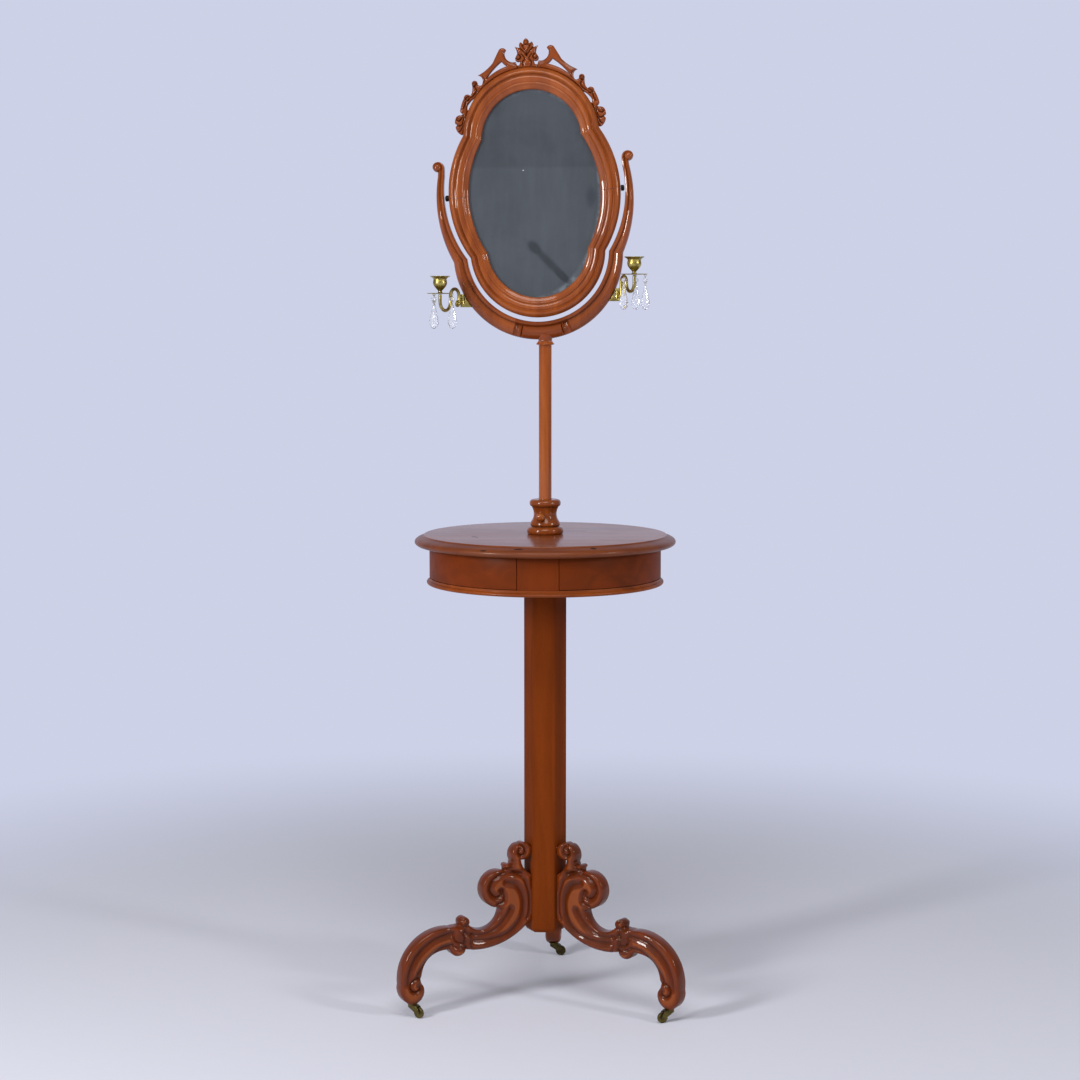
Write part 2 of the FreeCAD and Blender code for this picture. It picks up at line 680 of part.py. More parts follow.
def yoke_base():
    """The block on the pole: raised panel between two scooped ends, with the turned boss below."""
    angle = YOKE_BASE_ANGLE
    bead_front = YOKE_FACE - YOKE_BEAD_HEIGHT
    block = slab(lobe_sector(-angle, angle), YOKE_FACE, YOKE_BACK)
    bead = slab(bead_sector(-angle, angle), bead_front, YOKE_FACE)
    body = joined(block, bead)
    for hand in (-1, 1):
        low = polar(YOKE_RIM_CENTRE, YOKE_LOBE_OUTER + 2.0, hand * angle * 0.80 - 90)
        high = polar(YOKE_CENTRE, YOKE_LOBE_INNER + YOKE_BEAD_WIDTH, hand * angle * 0.80 - 90)
        scoop = rod(9.0, (low[0], YOKE_FACE - 1.5, low[1]), (high[0], YOKE_FACE - 1.5, high[1]))
        body = body.cut(scoop)
    boss_top = YOKE_OUTER_CENTRE - YOKE_LOBE_OUTER + 6.0
    boss = Part.makeCylinder(YOKE_BOSS_DIAMETER / 2, boss_top, Vector(-HEAD_SHIFT, 0, 0))
    return joined(body, boss)


def yoke_pieces():
    """The three leaned yoke pieces; the hole for the pole's spigot is plumb."""
    base = in_head(yoke_base())
    reach = YOKE_LOBE_OUTER
    above_ring = box((-reach, -reach, POLE_TOP), (reach, reach, POLE_TOP + YOKE_LOBE_CENTRE))
    base = base.common(above_ring)
    bore_radius = SPIGOT_DIAMETER / 2 + RUNNING_FIT
    bore = Part.makeCylinder(bore_radius, SPIGOT_LENGTH + SEAT_GAP, Vector(0, 0, POLE_TOP))
    arm = yoke_arm()
    return {
        "yoke_base": base.cut(bore),
        "yoke_arm_right": in_head(arm),
        "yoke_arm_left": in_head(mirrored(arm)),
    }


# ------------------------------------------------------------------ mirror
# the frame hangs on its middle, so its top is as far over the pivots as its bottom is under them
OUTER_SIDE = 146.2
OUTER_BOTTOM = YOKE_LOBE_CENTRE - YOKE_LOBE_INNER + FRAME_CLEARANCE
OUTER_TOP = 2 * PIVOT_HEIGHT - OUTER_BOTTOM
OUTER_CORNER_LOW = (114.8, OUTER_BOTTOM + CORNER_RISE)
OUTER_CORNER_HIGH = (115.3, OUTER_TOP - CORNER_RISE)
SIGHT_SIDE = OUTER_SIDE - MOULDING_WIDTH
SIGHT_BOTTOM = OUTER_BOTTOM + MOULDING_WIDTH
SIGHT_TOP = OUTER_TOP - MOULDING_WIDTH - 2.6
SIGHT_CORNER_HIGH = (OUTER_CORNER_HIGH[0] - 30.8, OUTER_CORNER_HIGH[1] - 9.7)
SIGHT_CORNER_LOW = (OUTER_CORNER_LOW[0] - 29.3, OUTER_CORNER_LOW[1] + 6.5)
# the moulding's face from the sight edge (0) to the outer edge (1): (share of the width, height over the glass)
MOULDING = (
    (0.00, 2.0), (0.07, 6.4), (0.32, 9.6), (0.40, 8.2), (0.62, 8.4), (0.80, 12.6), (0.91, 14.0), (1.00, 9.0),
)


def cartouche_arcs(top, bottom, side, high, low):
    """The four arcs of the outline as (start, middle, end), anticlockwise from the right side."""
    return {
        "right": (low, (side, PIVOT_HEIGHT), high),
        "top": (high, (0.0, top), (-high[0], high[1])),
        "left": ((-high[0], high[1]), (-side, PIVOT_HEIGHT), (-low[0], low[1])),
        "bottom": ((-low[0], low[1]), (0.0, bottom), low),
    }


OUTER = cartouche_arcs(OUTER_TOP, OUTER_BOTTOM, OUTER_SIDE, OUTER_CORNER_HIGH, OUTER_CORNER_LOW)
SIGHT = cartouche_arcs(SIGHT_TOP, SIGHT_BOTTOM, SIGHT_SIDE, SIGHT_CORNER_HIGH, SIGHT_CORNER_LOW)


def circle_through(first, middle, last):
    """Centre and radius of the circle through three points."""
    ax, az = first
    bx, bz = middle
    cx, cz = last
    d = 2 * (ax * (bz - cz) + bx * (cz - az) + cx * (az - bz))
    a, b, c = ax ** 2 + az ** 2, bx ** 2 + bz ** 2, cx ** 2 + cz ** 2
    x = (a * (bz - cz) + b * (cz - az) + c * (az - bz)) / d
    z = (a * (cx - bx) + b * (ax - cx) + c * (bx - ax)) / d
    return (x, z), math.dist((x, z), first)


def crossing(one, other, near):
    """Where two circles cross, the crossing that lies nearer to a point."""
    (x0, z0), r0 = one
    (x1, z1), r1 = other
    apart = math.dist((x0, z0), (x1, z1))
    along = (r0 ** 2 - r1 ** 2 + apart ** 2) / (2 * apart)
    off = math.sqrt(r0 ** 2 - along ** 2)
    ux, uz = (x1 - x0) / apart, (z1 - z0) / apart
    spots = [(x0 + ux * along - uz * s, z0 + uz * along + ux * s) for s in (off, -off)]
    return min(spots, key=lambda spot: math.dist(spot, near))


def grown_sight(grow):
    """The sight outline let out by a margin, its arcs still meeting in four corners."""
    circles = {}
    for name, arc in SIGHT.items():
        centre, radius = circle_through(*arc)
        circles[name] = (centre, radius + grow)
    order = ["right", "top", "left", "bottom"]
    corners = {}
    for here, after in zip(order, order[1:] + order[:1]):
        corners[here] = crossing(circles[here], circles[after], SIGHT[here][2])
    steps = []
    for before, here in zip(order[-1:] + order[:-1], order):
        centre, radius = circles[here]
        middle = SIGHT[here][1]
        reach = math.dist(middle, centre)
        via = tuple(centre[i] + (middle[i] - centre[i]) * radius / reach for i in (0, 1))
        steps.append((via, corners[here]))
    return wire(corners["bottom"], *steps)


def arc_stations(arc, count, first=0.0, last=1.0):
    """Evenly spaced points of an arc between two shares of its length."""
    (cx, cz), radius = circle_through(*arc)
    angles = [math.atan2(p[1] - cz, p[0] - cx) for p in arc]
    start, end = angles[0], angles[2]
    if end < start:
        end += 2 * math.pi
    shares = [first + (last - first) * i / (count - 1) for i in range(count)]
    return [(cx + radius * math.cos(start + (end - start) * s), cz + radius * math.sin(start + (end - start) * s))
            for s in shares]


def moulding_run(name, count, first=0.0, last=1.0):
    """One bent length of the frame's moulding, between its mitres or the seam at the pivots."""
    outer = arc_stations(OUTER[name], count, first, last)
    sight = arc_stations(SIGHT[name], count, first, last)
    sections = []
    for (ox, oz), (sx, sz) in zip(outer, sight):
        face = [(u, -height) for u, height in MOULDING]
        closed = face + [(1.0, FRAME_BACK + 2.0), (0.0, FRAME_BACK + 2.0)]
        points = [Vector(sx + (ox - sx) * u, y, sz + (oz - sz) * u) for u, y in closed]
        sections.append(Part.makePolygon(points + points[:1]))
    return Part.makeLoft(sections, True, False)


def frame_half(upper):
    """The upper or lower half of the frame, rebated at the back and bored for the pivots."""
    if upper:
        runs = [moulding_run("right", 5, 0.5, 1.0), moulding_run("top", 9), moulding_run("left", 5, 0.0, 0.5)]
    else:
        runs = [moulding_run("left", 5, 0.5, 1.0), moulding_run("bottom", 9), moulding_run("right", 5, 0.0, 0.5)]
    body = joined(*runs)
    wide, high = 2 * OUTER_SIDE, 2 * PIVOT_HEIGHT
    body = body.cut(box((-wide, FRAME_BACK, 0), (wide, FRAME_BACK + FRAME_THICKNESS, high)))
    body = body.cut(slab(grown_sight(REBATE_WIDTH), 0.0, FRAME_BACK + FRAME_THICKNESS))
    bore_diameter = PIVOT_DIAMETER + 2 * RUNNING_FIT
    depth = OUTER_SIDE - PIVOT_DEPTH - SEAT_GAP
    for hand in (-1, 1):
        hole = rod(bore_diameter, (hand * depth, 0, PIVOT_HEIGHT), (hand * (OUTER_SIDE + 2.0), 0, PIVOT_HEIGHT))
        body = body.cut(hole)
    return body


def pivot_pin():
    """The right iron pivot: tenon in the frame, collar in the gap and shank through the arm."""
    (cx, cz), radius = circle_through(ARM_INNER_CORNER, ARM_INNER_MIDDLE, ARM_INNER_HIGH)
    half = PIVOT_COLLAR_DIAMETER / 2
    arm_inner = min(cx + math.sqrt(radius ** 2 - (PIVOT_HEIGHT + side - cz) ** 2) for side in (-half, half))
    inner_end = OUTER_SIDE - PIVOT_DEPTH
    z = PIVOT_HEIGHT
    shank = rod(PIVOT_DIAMETER, (inner_end, 0, z), (PIVOT_END, 0, z))
    collar_piece = rod(PIVOT_COLLAR_DIAMETER, (OUTER_SIDE + SEAT_GAP, 0, z), (arm_inner - SEAT_GAP, 0, z))
    return joined(shank, collar_piece)


# ------------------------------------------------------------------ crest
# the crest's outlines are drawn from the middle of the frame's top edge, where z is 0
RIM_CENTRE, RIM_RADIUS = circle_through(*OUTER["top"])
BELOW_TOP = (0.0, RIM_CENTRE[1] - OUTER_TOP)


def swan_neck():
    """The right open scroll of the crest: horned foot, neck and the tip that turns to the middle."""
    return wire(
        (16.0, 1.0),
        (19.6, 10.6),
        ((33.4, 14.6), (37.4, 26.2)),
        (34.4, 31.0),
        ((40.2, 34.8), (47.6, 30.6)),
        ((52.4, 22.0), (58.4, 11.2)),
        ((68.0, 2.0), (84.6, -8.0)),
        ((78.8, -11.4), (76.8, -16.4)),
        ((77.4, -21.0), (79.0, -24.4)),
        (72.0, -23.0),
        ((48.0, -11.0), (16.0, 1.0)),
    )


def neck_opening():
    """The pointed gap between the swan neck and the rim."""
    return wire(
        (35.0, 4.4),
        ((53.5, -3.0), (69.4, -13.8)),
        ((56.8, 0.6), (43.2, 12.0)),
        ((38.6, 6.8), (35.0, 4.4)),
    )


def side_leaves():
    """The chain of carved leaves that runs down the right shoulder of the frame."""
    return wire(
        (79.0, -24.4),
        ((83.0, -24.8), (86.0, -22.4)),
        ((90.6, -16.2), (95.8, -21.0)),
        ((95.2, -29.6), (96.6, -36.6)),
        (99.8, -40.8),
        ((105.4, -38.4), (110.8, -44.6)),
        ((114.6, -52.6), (117.8, -62.8)),
        ((117.0, -68.4), (113.8, -70.4)),
        (117.0, -72.4),
        ((126.0, -75.6), (127.8, -81.8)),
        ((127.4, -86.4), (124.4, -87.6)),
        (127.6, -91.8),
        ((125.8, -98.0), (118.8, -105.4)),
        (112.0, -105.0),
        (polar(BELOW_TOP, RIM_RADIUS - 2.0, 28), polar(BELOW_TOP, RIM_RADIUS - 2.0, 50)),
    )


def leaf_opening():
    """The small gap between the lower leaves and the frame."""
    return wire(
        (90.0, -44.6),
        ((98.0, -49.4), (102.6, -54.4)),
        ((105.4, -58.8), (105.4, -64.6)),
        (102.0, -64.6),
        polar(BELOW_TOP, RIM_RADIUS - 3.0, 36),
    )


def palmette():
    """The middle ornament: stem, beads, spread leaf and the three-pointed tip."""
    half = [
        (15.0, 1.0),
        ((12.4, 7.6), (11.2, 11.2)),
        ((19.2, 12.4), (19.4, 17.8)),
        (16.0, 23.6),
        ((17.0, 29.8), (19.8, 35.6)),
        (11.4, 33.4),
        ((12.0, 38.6), (9.6, 42.8)),
        (5.0, 39.6),
        ((4.0, 45.4), (0.0, 48.6)),
    ]

    def across(point):
        return (-point[0], point[1])

    ends = [step if not isinstance(step[0], tuple) else step[1] for step in half]
    steps = half[1:]
    for step, before in zip(reversed(half[1:]), reversed(ends[:-1])):
        if isinstance(step[0], tuple):
            steps.append((across(step[0]), across(before)))
        else:
            steps.append(across(before))
    return wire(half[0], *steps)


def crest_pieces():
    """The pierced crest in three boards, glued on the upper edge of the frame."""
    middle = 8.0
    front = CREST_BACK - CREST_THICKNESS

    def board(outline):
        return moved(slab(outline, front, CREST_BACK), 0, 0, OUTER_TOP)

    def rim(first, last):
        return board(ring_sector(BELOW_TOP, RIM_RADIUS - 2.0, RIM_RADIUS + CREST_RIM, first, last))

    split = RIM_RADIUS * math.sin(math.radians(middle))
    beyond = box((split, front, 0), (YOKE_LOBE_OUTER, CREST_BACK, 2 * PIVOT_HEIGHT))
    right = joined(board(swan_neck()), board(side_leaves()), rim(44, 90 - middle)).common(beyond)
    right = right.cut(board(neck_opening())).cut(board(leaf_opening()))
    centre = joined(board(palmette()), rim(90 - middle, 90 + middle))
    under = slab(disc_wire(RIM_CENTRE, RIM_RADIUS), -FRAME_THICKNESS, FRAME_THICKNESS)
    pieces = {"crest_scroll_right": right, "crest_scroll_left": mirrored(right)}
    for name, shape in pieces.items():
        pieces[name] = shape.cut(centre)
    pieces["crest_palmette"] = centre
    return {name: shape.cut(under) for name, shape in pieces.items()}


# ------------------------------------------------------------------ sconces
def bar_outline(width, start, *steps):
    """The outline of a bar along straight runs and quarter bends: a step is an end or (centre, end)."""
    half = width / 2
    here = start
    left, right = [], []
    for step in steps:
        if isinstance(step[0], tuple):
            centre, end = step
            radius = math.dist(centre, end)
            first = math.degrees(math.atan2(here[1] - centre[1], here[0] - centre[0]))
            last = math.degrees(math.atan2(end[1] - centre[1], end[0] - centre[0]))
            swing = (last - first + 540) % 360 - 180
            inwards = math.copysign(half, swing)
            for side, grown in ((left, radius - inwards), (right, radius + inwards)):
                side.append((polar(centre, grown, first + swing / 2), polar(centre, grown, last)))
        else:
            end = step
            length = math.dist(here, end)
            across = ((here[1] - end[1]) / length * half, (end[0] - here[0]) / length * half)
            for side, sign in ((left, 1), (right, -1)):
                if here is start:
                    side.append((here[0] + sign * across[0], here[1] + sign * across[1]))
                side.append((end[0] + sign * across[0], end[1] + sign * across[1]))
        here = end
    ends = [step[1] if isinstance(step[0], tuple) else step for step in right]
    back = [ends[-1]]
    for step, before in zip(reversed(right[1:]), reversed(ends[:-1])):
        back.append((step[0], before) if isinstance(step[0], tuple) else before)
    return wire(left[0], *left[1:], *back)


def sconce_arm(drop, high, high_bend):
    """The S-bent brass arm from its hinge barrel at x = 0, with the pan and the cup at x = SCONCE_REACH.

    high is the height of the upper bend's centre over the pan, and drop puts the knuckle lower.
    """
    reach = SCONCE_REACH
    low_bend = 15.0
    low = -13.0
    inner = reach - 2 * low_bend
    scroll = inner - 2 * high_bend
    curl = 4.5
    middle = -drop - KNUCKLE_HEIGHT / 2
    foot = middle - 4.0
    outline = bar_outline(
        SCONCE_BAR,
        (reach, 0.0),
        (reach, low),
        ((reach - low_bend, low), (reach - low_bend, low - low_bend)),
        ((reach - low_bend, low), (inner, low)),
        (inner, high),
        ((inner - high_bend, high), (inner - high_bend, high + high_bend)),
        ((inner - high_bend, high), (scroll, high)),
        (scroll, foot),
        ((scroll + curl, foot), (scroll + curl, foot - curl)),
        ((scroll + curl, foot), (scroll + 2 * curl, foot)),
        (scroll + 2 * curl, foot + 2.0),
    )
    bar = slab(outline, -SCONCE_BAR / 2, SCONCE_BAR / 2)
    half = KNUCKLE_HEIGHT / 2 - LUG_HEIGHT - SEAT_GAP
    barrel = Part.makeCylinder(KNUCKLE_DIAMETER / 2, 2 * half, Vector(0, 0, middle - half))
    web = box((0, -2.0, middle - half), (scroll, 2.0, middle + half))
    body = joined(bar, barrel, web, moved(drip_pan(), reach, 0, 0), moved(candle_cup(), reach, 0, 0))
    bore = Part.makeCylinder(HINGE_PIN_DIAMETER / 2 + RUNNING_FIT, KNUCKLE_HEIGHT, Vector(0, 0, middle - half - 1))
    return body.cut(bore)


def sconce_bracket(drop, towards):
    """Two lugs and their pin on a plate, the plate towards the yoke; the pin's axis is x = y = 0."""
    lug = KNUCKLE_DIAMETER / 2
    top = -drop
    bottom = top - KNUCKLE_HEIGHT
    pin = Part.makeCylinder(HINGE_PIN_DIAMETER / 2, KNUCKLE_HEIGHT, Vector(0, 0, bottom))
    reach = BRACKET_REACH
    arms = []
    for low in (bottom, top - LUG_HEIGHT):
        arms.append(Part.makeCylinder(lug, LUG_HEIGHT, Vector(0, 0, low)))
        arms.append(box((0, -lug, low), (reach, lug, low + LUG_HEIGHT)))
    plate = box((lug + SEAT_GAP, -lug, bottom), (reach, lug, top))
    return turned_about_z(joined(pin, plate, *arms), towards)


def drip_pan():
    """The shallow brass dish under the cup; its underside is z = 0."""
    return Part.makeCylinder(PAN_DIAMETER / 2, PAN_THICKNESS)


def candle_cup():
    """The turned vase-shaped cup on its stem, standing on the pan."""
    rim = CUP_RIM_DIAMETER / 2
    body = CUP_BODY_DIAMETER / 2
    bore = CANDLE_DIAMETER / 2
    stem = CUP_STEM_DIAMETER / 2
    top = PAN_THICKNESS + CUP_HEIGHT
    floor = top - CANDLE_DEPTH
    return turned(
        (0, 0),
        (stem, 0),
        (stem, top - CUP_HEIGHT * 0.82),
        (body, top - CUP_HEIGHT * 0.48),
        (body, top - 5.0),
        (rim, top - 1.0),
        (rim, top),
        (bore, top),
        (bore, floor),
        (0, floor),
    )


def cut_bead(width, height):
    """A bead with flat facets, shaped from three eight-sided prisms, centred at the given height."""
    radius = width / 2 / math.cos(math.radians(22.5))
    outline = wire(*[polar((0, 0), radius, 22.5 + 45 * i) for i in range(8)])
    prism = slab(outline, -width / 2, width / 2)
    upright = prism.copy()
    upright.rotate(Vector(0, 0, 0), Vector(1, 0, 0), 90)
    bead = prism.common(turned_about_z(prism, 90)).common(upright)
    return moved(bead, 0, 0, height)


def crystal_drop():
    """Bead and pear-shaped pendant on one wire; the eye under the pan's rim is the origin, +X is outwards."""
    bead = BEAD_DIAMETER / 2
    bead_at = -9.0
    top = bead_at - bead - 4.0
    length = PENDANT_LENGTH
    wide, thick = PENDANT_WIDTH / 2, PENDANT_THICKNESS / 2
    levels = (0.0, 0.22, 0.60, 0.76, 0.93, 1.0)
    widths = (0.20, 0.46, 0.94, 1.0, 0.60, 0.14)
    thicknesses = (0.40, 0.62, 1.0, 0.94, 0.52, 0.20)

    def outline(shares, half):
        right = [(half * share, top - length * level) for share, level in zip(shares, levels)]
        left = [(-x, z) for x, z in reversed(right)]
        return wire(right[0], *(right[1:] + left))

    face = slab(outline(widths, wide), -thick, thick)
    face = turned_about_z(face, 90)
    edge = slab(outline(thicknesses, thick), -wide, wide)
    pendant = face.common(edge)
    half = WIRE_DIAMETER / 2
    hanger = box((-half, -half, top - 1.0), (half, half, -DROP_EYE_DROP))
    return joined(hanger, cut_bead(BEAD_DIAMETER, bead_at), pendant)


# rise is the height of the knuckle's middle up the yoke; side is -1 for the left arm
SCONCES = {
    "left": {"side": -1, "rise": 76.3, "drop": 0.5, "bend": (-4.0, 12.5), "swing": 240.4, "towards": 0.0},
    "right": {"side": 1, "rise": 71.5, "drop": 22.0, "bend": (-12.0, 10.0), "swing": -62.8, "towards": 180.0},
}
DROP_AZIMUTHS = {"left": (5.0, 125.0, 245.0), "right": (-25.0, 84.0, 215.0)}


def sconce_hinge(side):
    """Where the hinge pin's axis meets the pan's height: the clearance out from the leaned yoke's edge."""
    place = SCONCES[side]
    rise = place["rise"]
    edge = math.sqrt(YOKE_LOBE_OUTER ** 2 - (YOKE_OUTER_CENTRE - rise) ** 2)
    across = HEAD_SHIFT + place["side"] * (edge + HINGE_CLEARANCE)
    lean = math.radians(HEAD_LEAN)
    x = across * math.cos(lean) - rise * math.sin(lean)
    knuckle = POLE_TOP + across * math.sin(lean) + rise * math.cos(lean)
    return (x, 0, knuckle + KNUCKLE_HEIGHT / 2 + place["drop"])


def sconce_pieces(side, yoke):
    """Bracket and arm of one sconce, plumb, the bracket fitted to the yoke's edge; and the pan's place."""
    place = SCONCES[side]
    hinge = sconce_hinge(side)
    angle = math.radians(place["swing"])
    pan = (hinge[0] + SCONCE_REACH * math.cos(angle), SCONCE_REACH * math.sin(angle), hinge[2])
    bracket = moved(sconce_bracket(place["drop"], place["towards"]), *hinge).cut(yoke)
    bracket = min(bracket.Solids, key=lambda solid: abs(solid.CenterOfMass.x - hinge[0]))
    arm = moved(turned_about_z(sconce_arm(place["drop"], *place["bend"]), place["swing"]), *hinge)
    return bracket, arm, pan


# ------------------------------------------------------------------ the whole stand
def assembly():
    nodes = {"column": column()}
    for side in LEG_AZIMUTHS:
        nodes["leg_" + side] = leg(side)
    plates = []
    for side, heading in CASTOR_HEADINGS.items():
        centre = castor_centre(side)
        plates.append(moved(castor_plate(), *centre))
        nodes["castor_fork_" + side] = moved(turned_about_z(castor_fork(), heading), *centre)
        nodes["castor_wheel_" + side] = moved(turned_about_z(castor_wheel(), heading), *centre)
    nodes["castor_plates"] = Part.makeCompound(plates)
    nodes["table_top"] = table_top()
    nodes["drum_floor"] = drum_floor()
    nodes["front_block"] = fixed_block(-1)
    nodes["rear_block"] = fixed_block(1)
    nodes["pole_guide"] = pole_guide()
    for name, side in (("left", -1), ("right", 1)):
        nodes["divider_" + name] = divider(side)
        nodes["drawer_runner_" + name] = drawer_runner(side)
        for part_name, shape in drawer_pieces(side).items():
            nodes["drawer_%s_%s" % (name, part_name)] = shape
    nodes["drawer_right_front"] = nodes["drawer_right_front"].cut(finger_notch())
    nodes["pole"] = pole()
    nodes["collar"] = collar()
    nodes["thumbscrew"] = thumbscrew()
    yoke = yoke_pieces()
    nodes.update(yoke)
    nodes["pivots"] = Part.makeCompound([in_head(pivot_pin()), in_head(mirrored(pivot_pin()))])
    nodes["frame_upper"] = in_head(frame_half(True))
    nodes["frame_lower"] = in_head(frame_half(False))
    glass = slab(grown_sight(GLASS_OVERLAP), 0.0, GLASS_THICKNESS)
    board_front = GLASS_THICKNESS
    board = slab(grown_sight(REBATE_WIDTH), board_front, board_front + BACKBOARD_THICKNESS)
    nodes["mirror_glass"] = in_head(glass)
    nodes["back_board"] = in_head(board)
    for name, shape in crest_pieces().items():
        nodes[name] = in_head(shape)
    brackets = []
    for side in SCONCES:
        bracket, arm, pan = sconce_pieces(side, yoke["yoke_arm_" + side])
        brackets.append(bracket)
        nodes["sconce_" + side] = arm
        for number, azimuth in enumerate(DROP_AZIMUTHS[side], start=1):
            angle = math.radians(azimuth)
            radius = DROP_CIRCLE / 2
            at = (pan[0] + radius * math.cos(angle), pan[1] + radius * math.sin(angle), pan[2])
            drop = moved(turned_about_z(crystal_drop(), azimuth), *at)
            nodes["crystal_drop_%s_%d" % (side, number)] = drop
    nodes["sconce_brackets"] = Part.makeCompound(brackets)
    return nodes


def main():
    os.makedirs("parts", exist_ok=True)
    for name, shape in assembly().items():
        shape.exportStep(os.path.join("parts", name + ".step"))


main()
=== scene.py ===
"""Shaving stand: the polished mahogany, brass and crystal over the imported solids."""

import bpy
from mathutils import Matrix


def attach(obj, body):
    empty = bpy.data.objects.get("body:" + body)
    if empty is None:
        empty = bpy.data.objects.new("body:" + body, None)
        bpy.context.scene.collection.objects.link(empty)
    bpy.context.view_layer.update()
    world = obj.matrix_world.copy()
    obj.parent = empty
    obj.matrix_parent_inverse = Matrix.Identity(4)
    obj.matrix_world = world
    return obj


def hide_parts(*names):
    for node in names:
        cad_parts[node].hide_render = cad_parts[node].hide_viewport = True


bl_info = {
    "name": "Shaving Stand",
    "version": (1, 0, 0),
    "blender": (4, 5, 0),
    "location": "3D View > Sidebar > Shaving Stand",
    "description": "Builds the carved stand, its mirror, sconces and the studio floor",
    "category": "Object",
}

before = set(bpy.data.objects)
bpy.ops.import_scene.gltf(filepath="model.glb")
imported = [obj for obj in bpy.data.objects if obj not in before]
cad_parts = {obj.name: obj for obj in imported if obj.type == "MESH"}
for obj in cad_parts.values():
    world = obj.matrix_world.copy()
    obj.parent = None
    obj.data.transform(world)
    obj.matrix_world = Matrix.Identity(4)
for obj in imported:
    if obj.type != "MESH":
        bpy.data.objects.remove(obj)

import math
from functools import reduce
from operator import add
import bmesh
import bpy
import numpy as np
from mathutils import Matrix, Vector
from mathutils.geometry import delaunay_2d_cdt

MM = 0.001
LEAN = math.radians(3.3)
HEAD_SHIFT, POLE_TOP, PIVOT_HEIGHT = -3.7, 1151.0, 250.5
TABLE_TOP = 820.0
UP = Vector((0, 0, 1))
LEG_AZIMUTHS = {"left": -60.0, "right": 60.0, "rear": 180.0}
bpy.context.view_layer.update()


# ------------------------------------------------------------------ places and lines, in millimetres
def in_head(x, y, z):
    """A point drawn upright over the pole's top, leaned with the head."""
    across = x + HEAD_SHIFT
    return (
        across * math.cos(LEAN) - z * math.sin(LEAN),
        y,
        POLE_TOP + across * math.sin(LEAN) + z * math.cos(LEAN),
    )


def polar(centre, radius, angle):
    turn = math.radians(angle)
    return (centre[0] + radius * math.cos(turn), centre[1] + radius * math.sin(turn))


def facing(azimuth):
    """The directions out along an azimuth counted from the front, and sideways to it."""
    turn = math.radians(azimuth)
    return Vector((math.sin(turn), -math.cos(turn), 0)), Vector((math.cos(turn), math.sin(turn), 0))


def standing_at(centre, height, angle):
    """A placement that turns a point about an upright axis and moves it to a spot."""
    cos, sin = math.cos(math.radians(angle)), math.sin(math.radians(angle))

    def place(x, y, z):
        return (centre[0] + x * cos - y * sin, centre[1] + x * sin + y * cos, height + z)
    return place


def circle_through(first, middle, last):
    ax, az = first
    bx, bz = middle
    cx, cz = last
    d = 2 * (ax * (bz - cz) + bx * (cz - az) + cx * (az - bz))
    a, b, c = ax ** 2 + az ** 2, bx ** 2 + bz ** 2, cx ** 2 + cz ** 2
    x = (a * (bz - cz) + b * (cz - az) + c * (az - bz)) / d
    z = (a * (cx - bx) + b * (ax - cx) + c * (bx - ax)) / d
    return (x, z), math.dist((x, z), first)


def along_arc(first, middle, last, count, start=0.0, end=1.0):
    """Evenly spaced points on the arc through three points."""
    (cx, cz), radius = circle_through(first, middle, last)
    angles = [math.atan2(p[1] - cz, p[0] - cx) for p in (first, middle, last)]
    swing = (angles[2] - angles[0]) % (2 * math.pi)
    if (angles[1] - angles[0]) % (2 * math.pi) > swing:
        swing -= 2 * math.pi
    turns = [angles[0] + swing * (start + (end - start) * i / (count - 1)) for i in range(count)]
    return [(cx + radius * math.cos(a), cz + radius * math.sin(a)) for a in turns]


def flowing(points, step=1.0):
    """A smooth line through points, as an array of closely spaced ones."""
    p = np.array(points, float)
    if len(p) < 3:
        return p
    p = np.vstack([2 * p[0] - p[1], p, 2 * p[-1] - p[-2]])
    runs = []
    for a, b, c, d in zip(p[:-3], p[1:-2], p[2:-1], p[3:]):
        t = np.linspace(0, 1, max(2, int(np.linalg.norm(c - b) / step)), endpoint=False)[:, None]
        runs.append(0.5 * (2 * b + (c - a) * t + (2 * a - 5 * b + 4 * c - d) * t ** 2
                           + (3 * b - a - 3 * c + d) * t ** 3))
    runs.append(p[-2:-1])
    return np.vstack(runs)


def spread(line, count):
    """Points spaced evenly down a line; count turns the line's length into their number."""
    length = np.concatenate([[0], np.cumsum(np.linalg.norm(np.diff(line, axis=0), axis=1))])
    marks = np.linspace(0, length[-1], max(2, count(length[-1])))
    return np.column_stack([np.interp(marks, length, line[:, c]) for c in (0, 1)])


def eased(outline, radius, steps=4, closed=True):
    """An outline in a plane with its corners rounded; radius may be one number or one for each corner."""
    count = len(outline)
    radii = radius if isinstance(radius, (list, tuple)) else [radius] * count
    result = []
    for i, corner in enumerate(outline):
        here = Vector(corner)
        if radii[i] <= 0 or (not closed and i in (0, count - 1)):
            result.append(tuple(here))
            continue
        before, after = Vector(outline[i - 1]) - here, Vector(outline[(i + 1) % count]) - here
        first = here + before.normalized() * min(radii[i], before.length * 0.48)
        last = here + after.normalized() * min(radii[i], after.length * 0.48)
        for k in range(steps + 1):
            t = k / steps
            result.append(tuple(first * (1 - t) ** 2 + here * (2 * t * (1 - t)) + last * t ** 2))
    return result


def gap_to(points, line):
    """The distance of each point to a line of points."""
    a, b = line[:-1], line[1:]
    run = b - a
    size = np.maximum((run ** 2).sum(1), 1e-9)
    result = np.empty(len(points))
    for k in range(0, len(points), 2000):
        p = points[k:k + 2000, None, :]
        t = np.clip(((p - a) * run).sum(2) / size, 0, 1)
        result[k:k + 2000] = np.linalg.norm(p - (a + run * t[..., None]), axis=2).min(1)
    return result


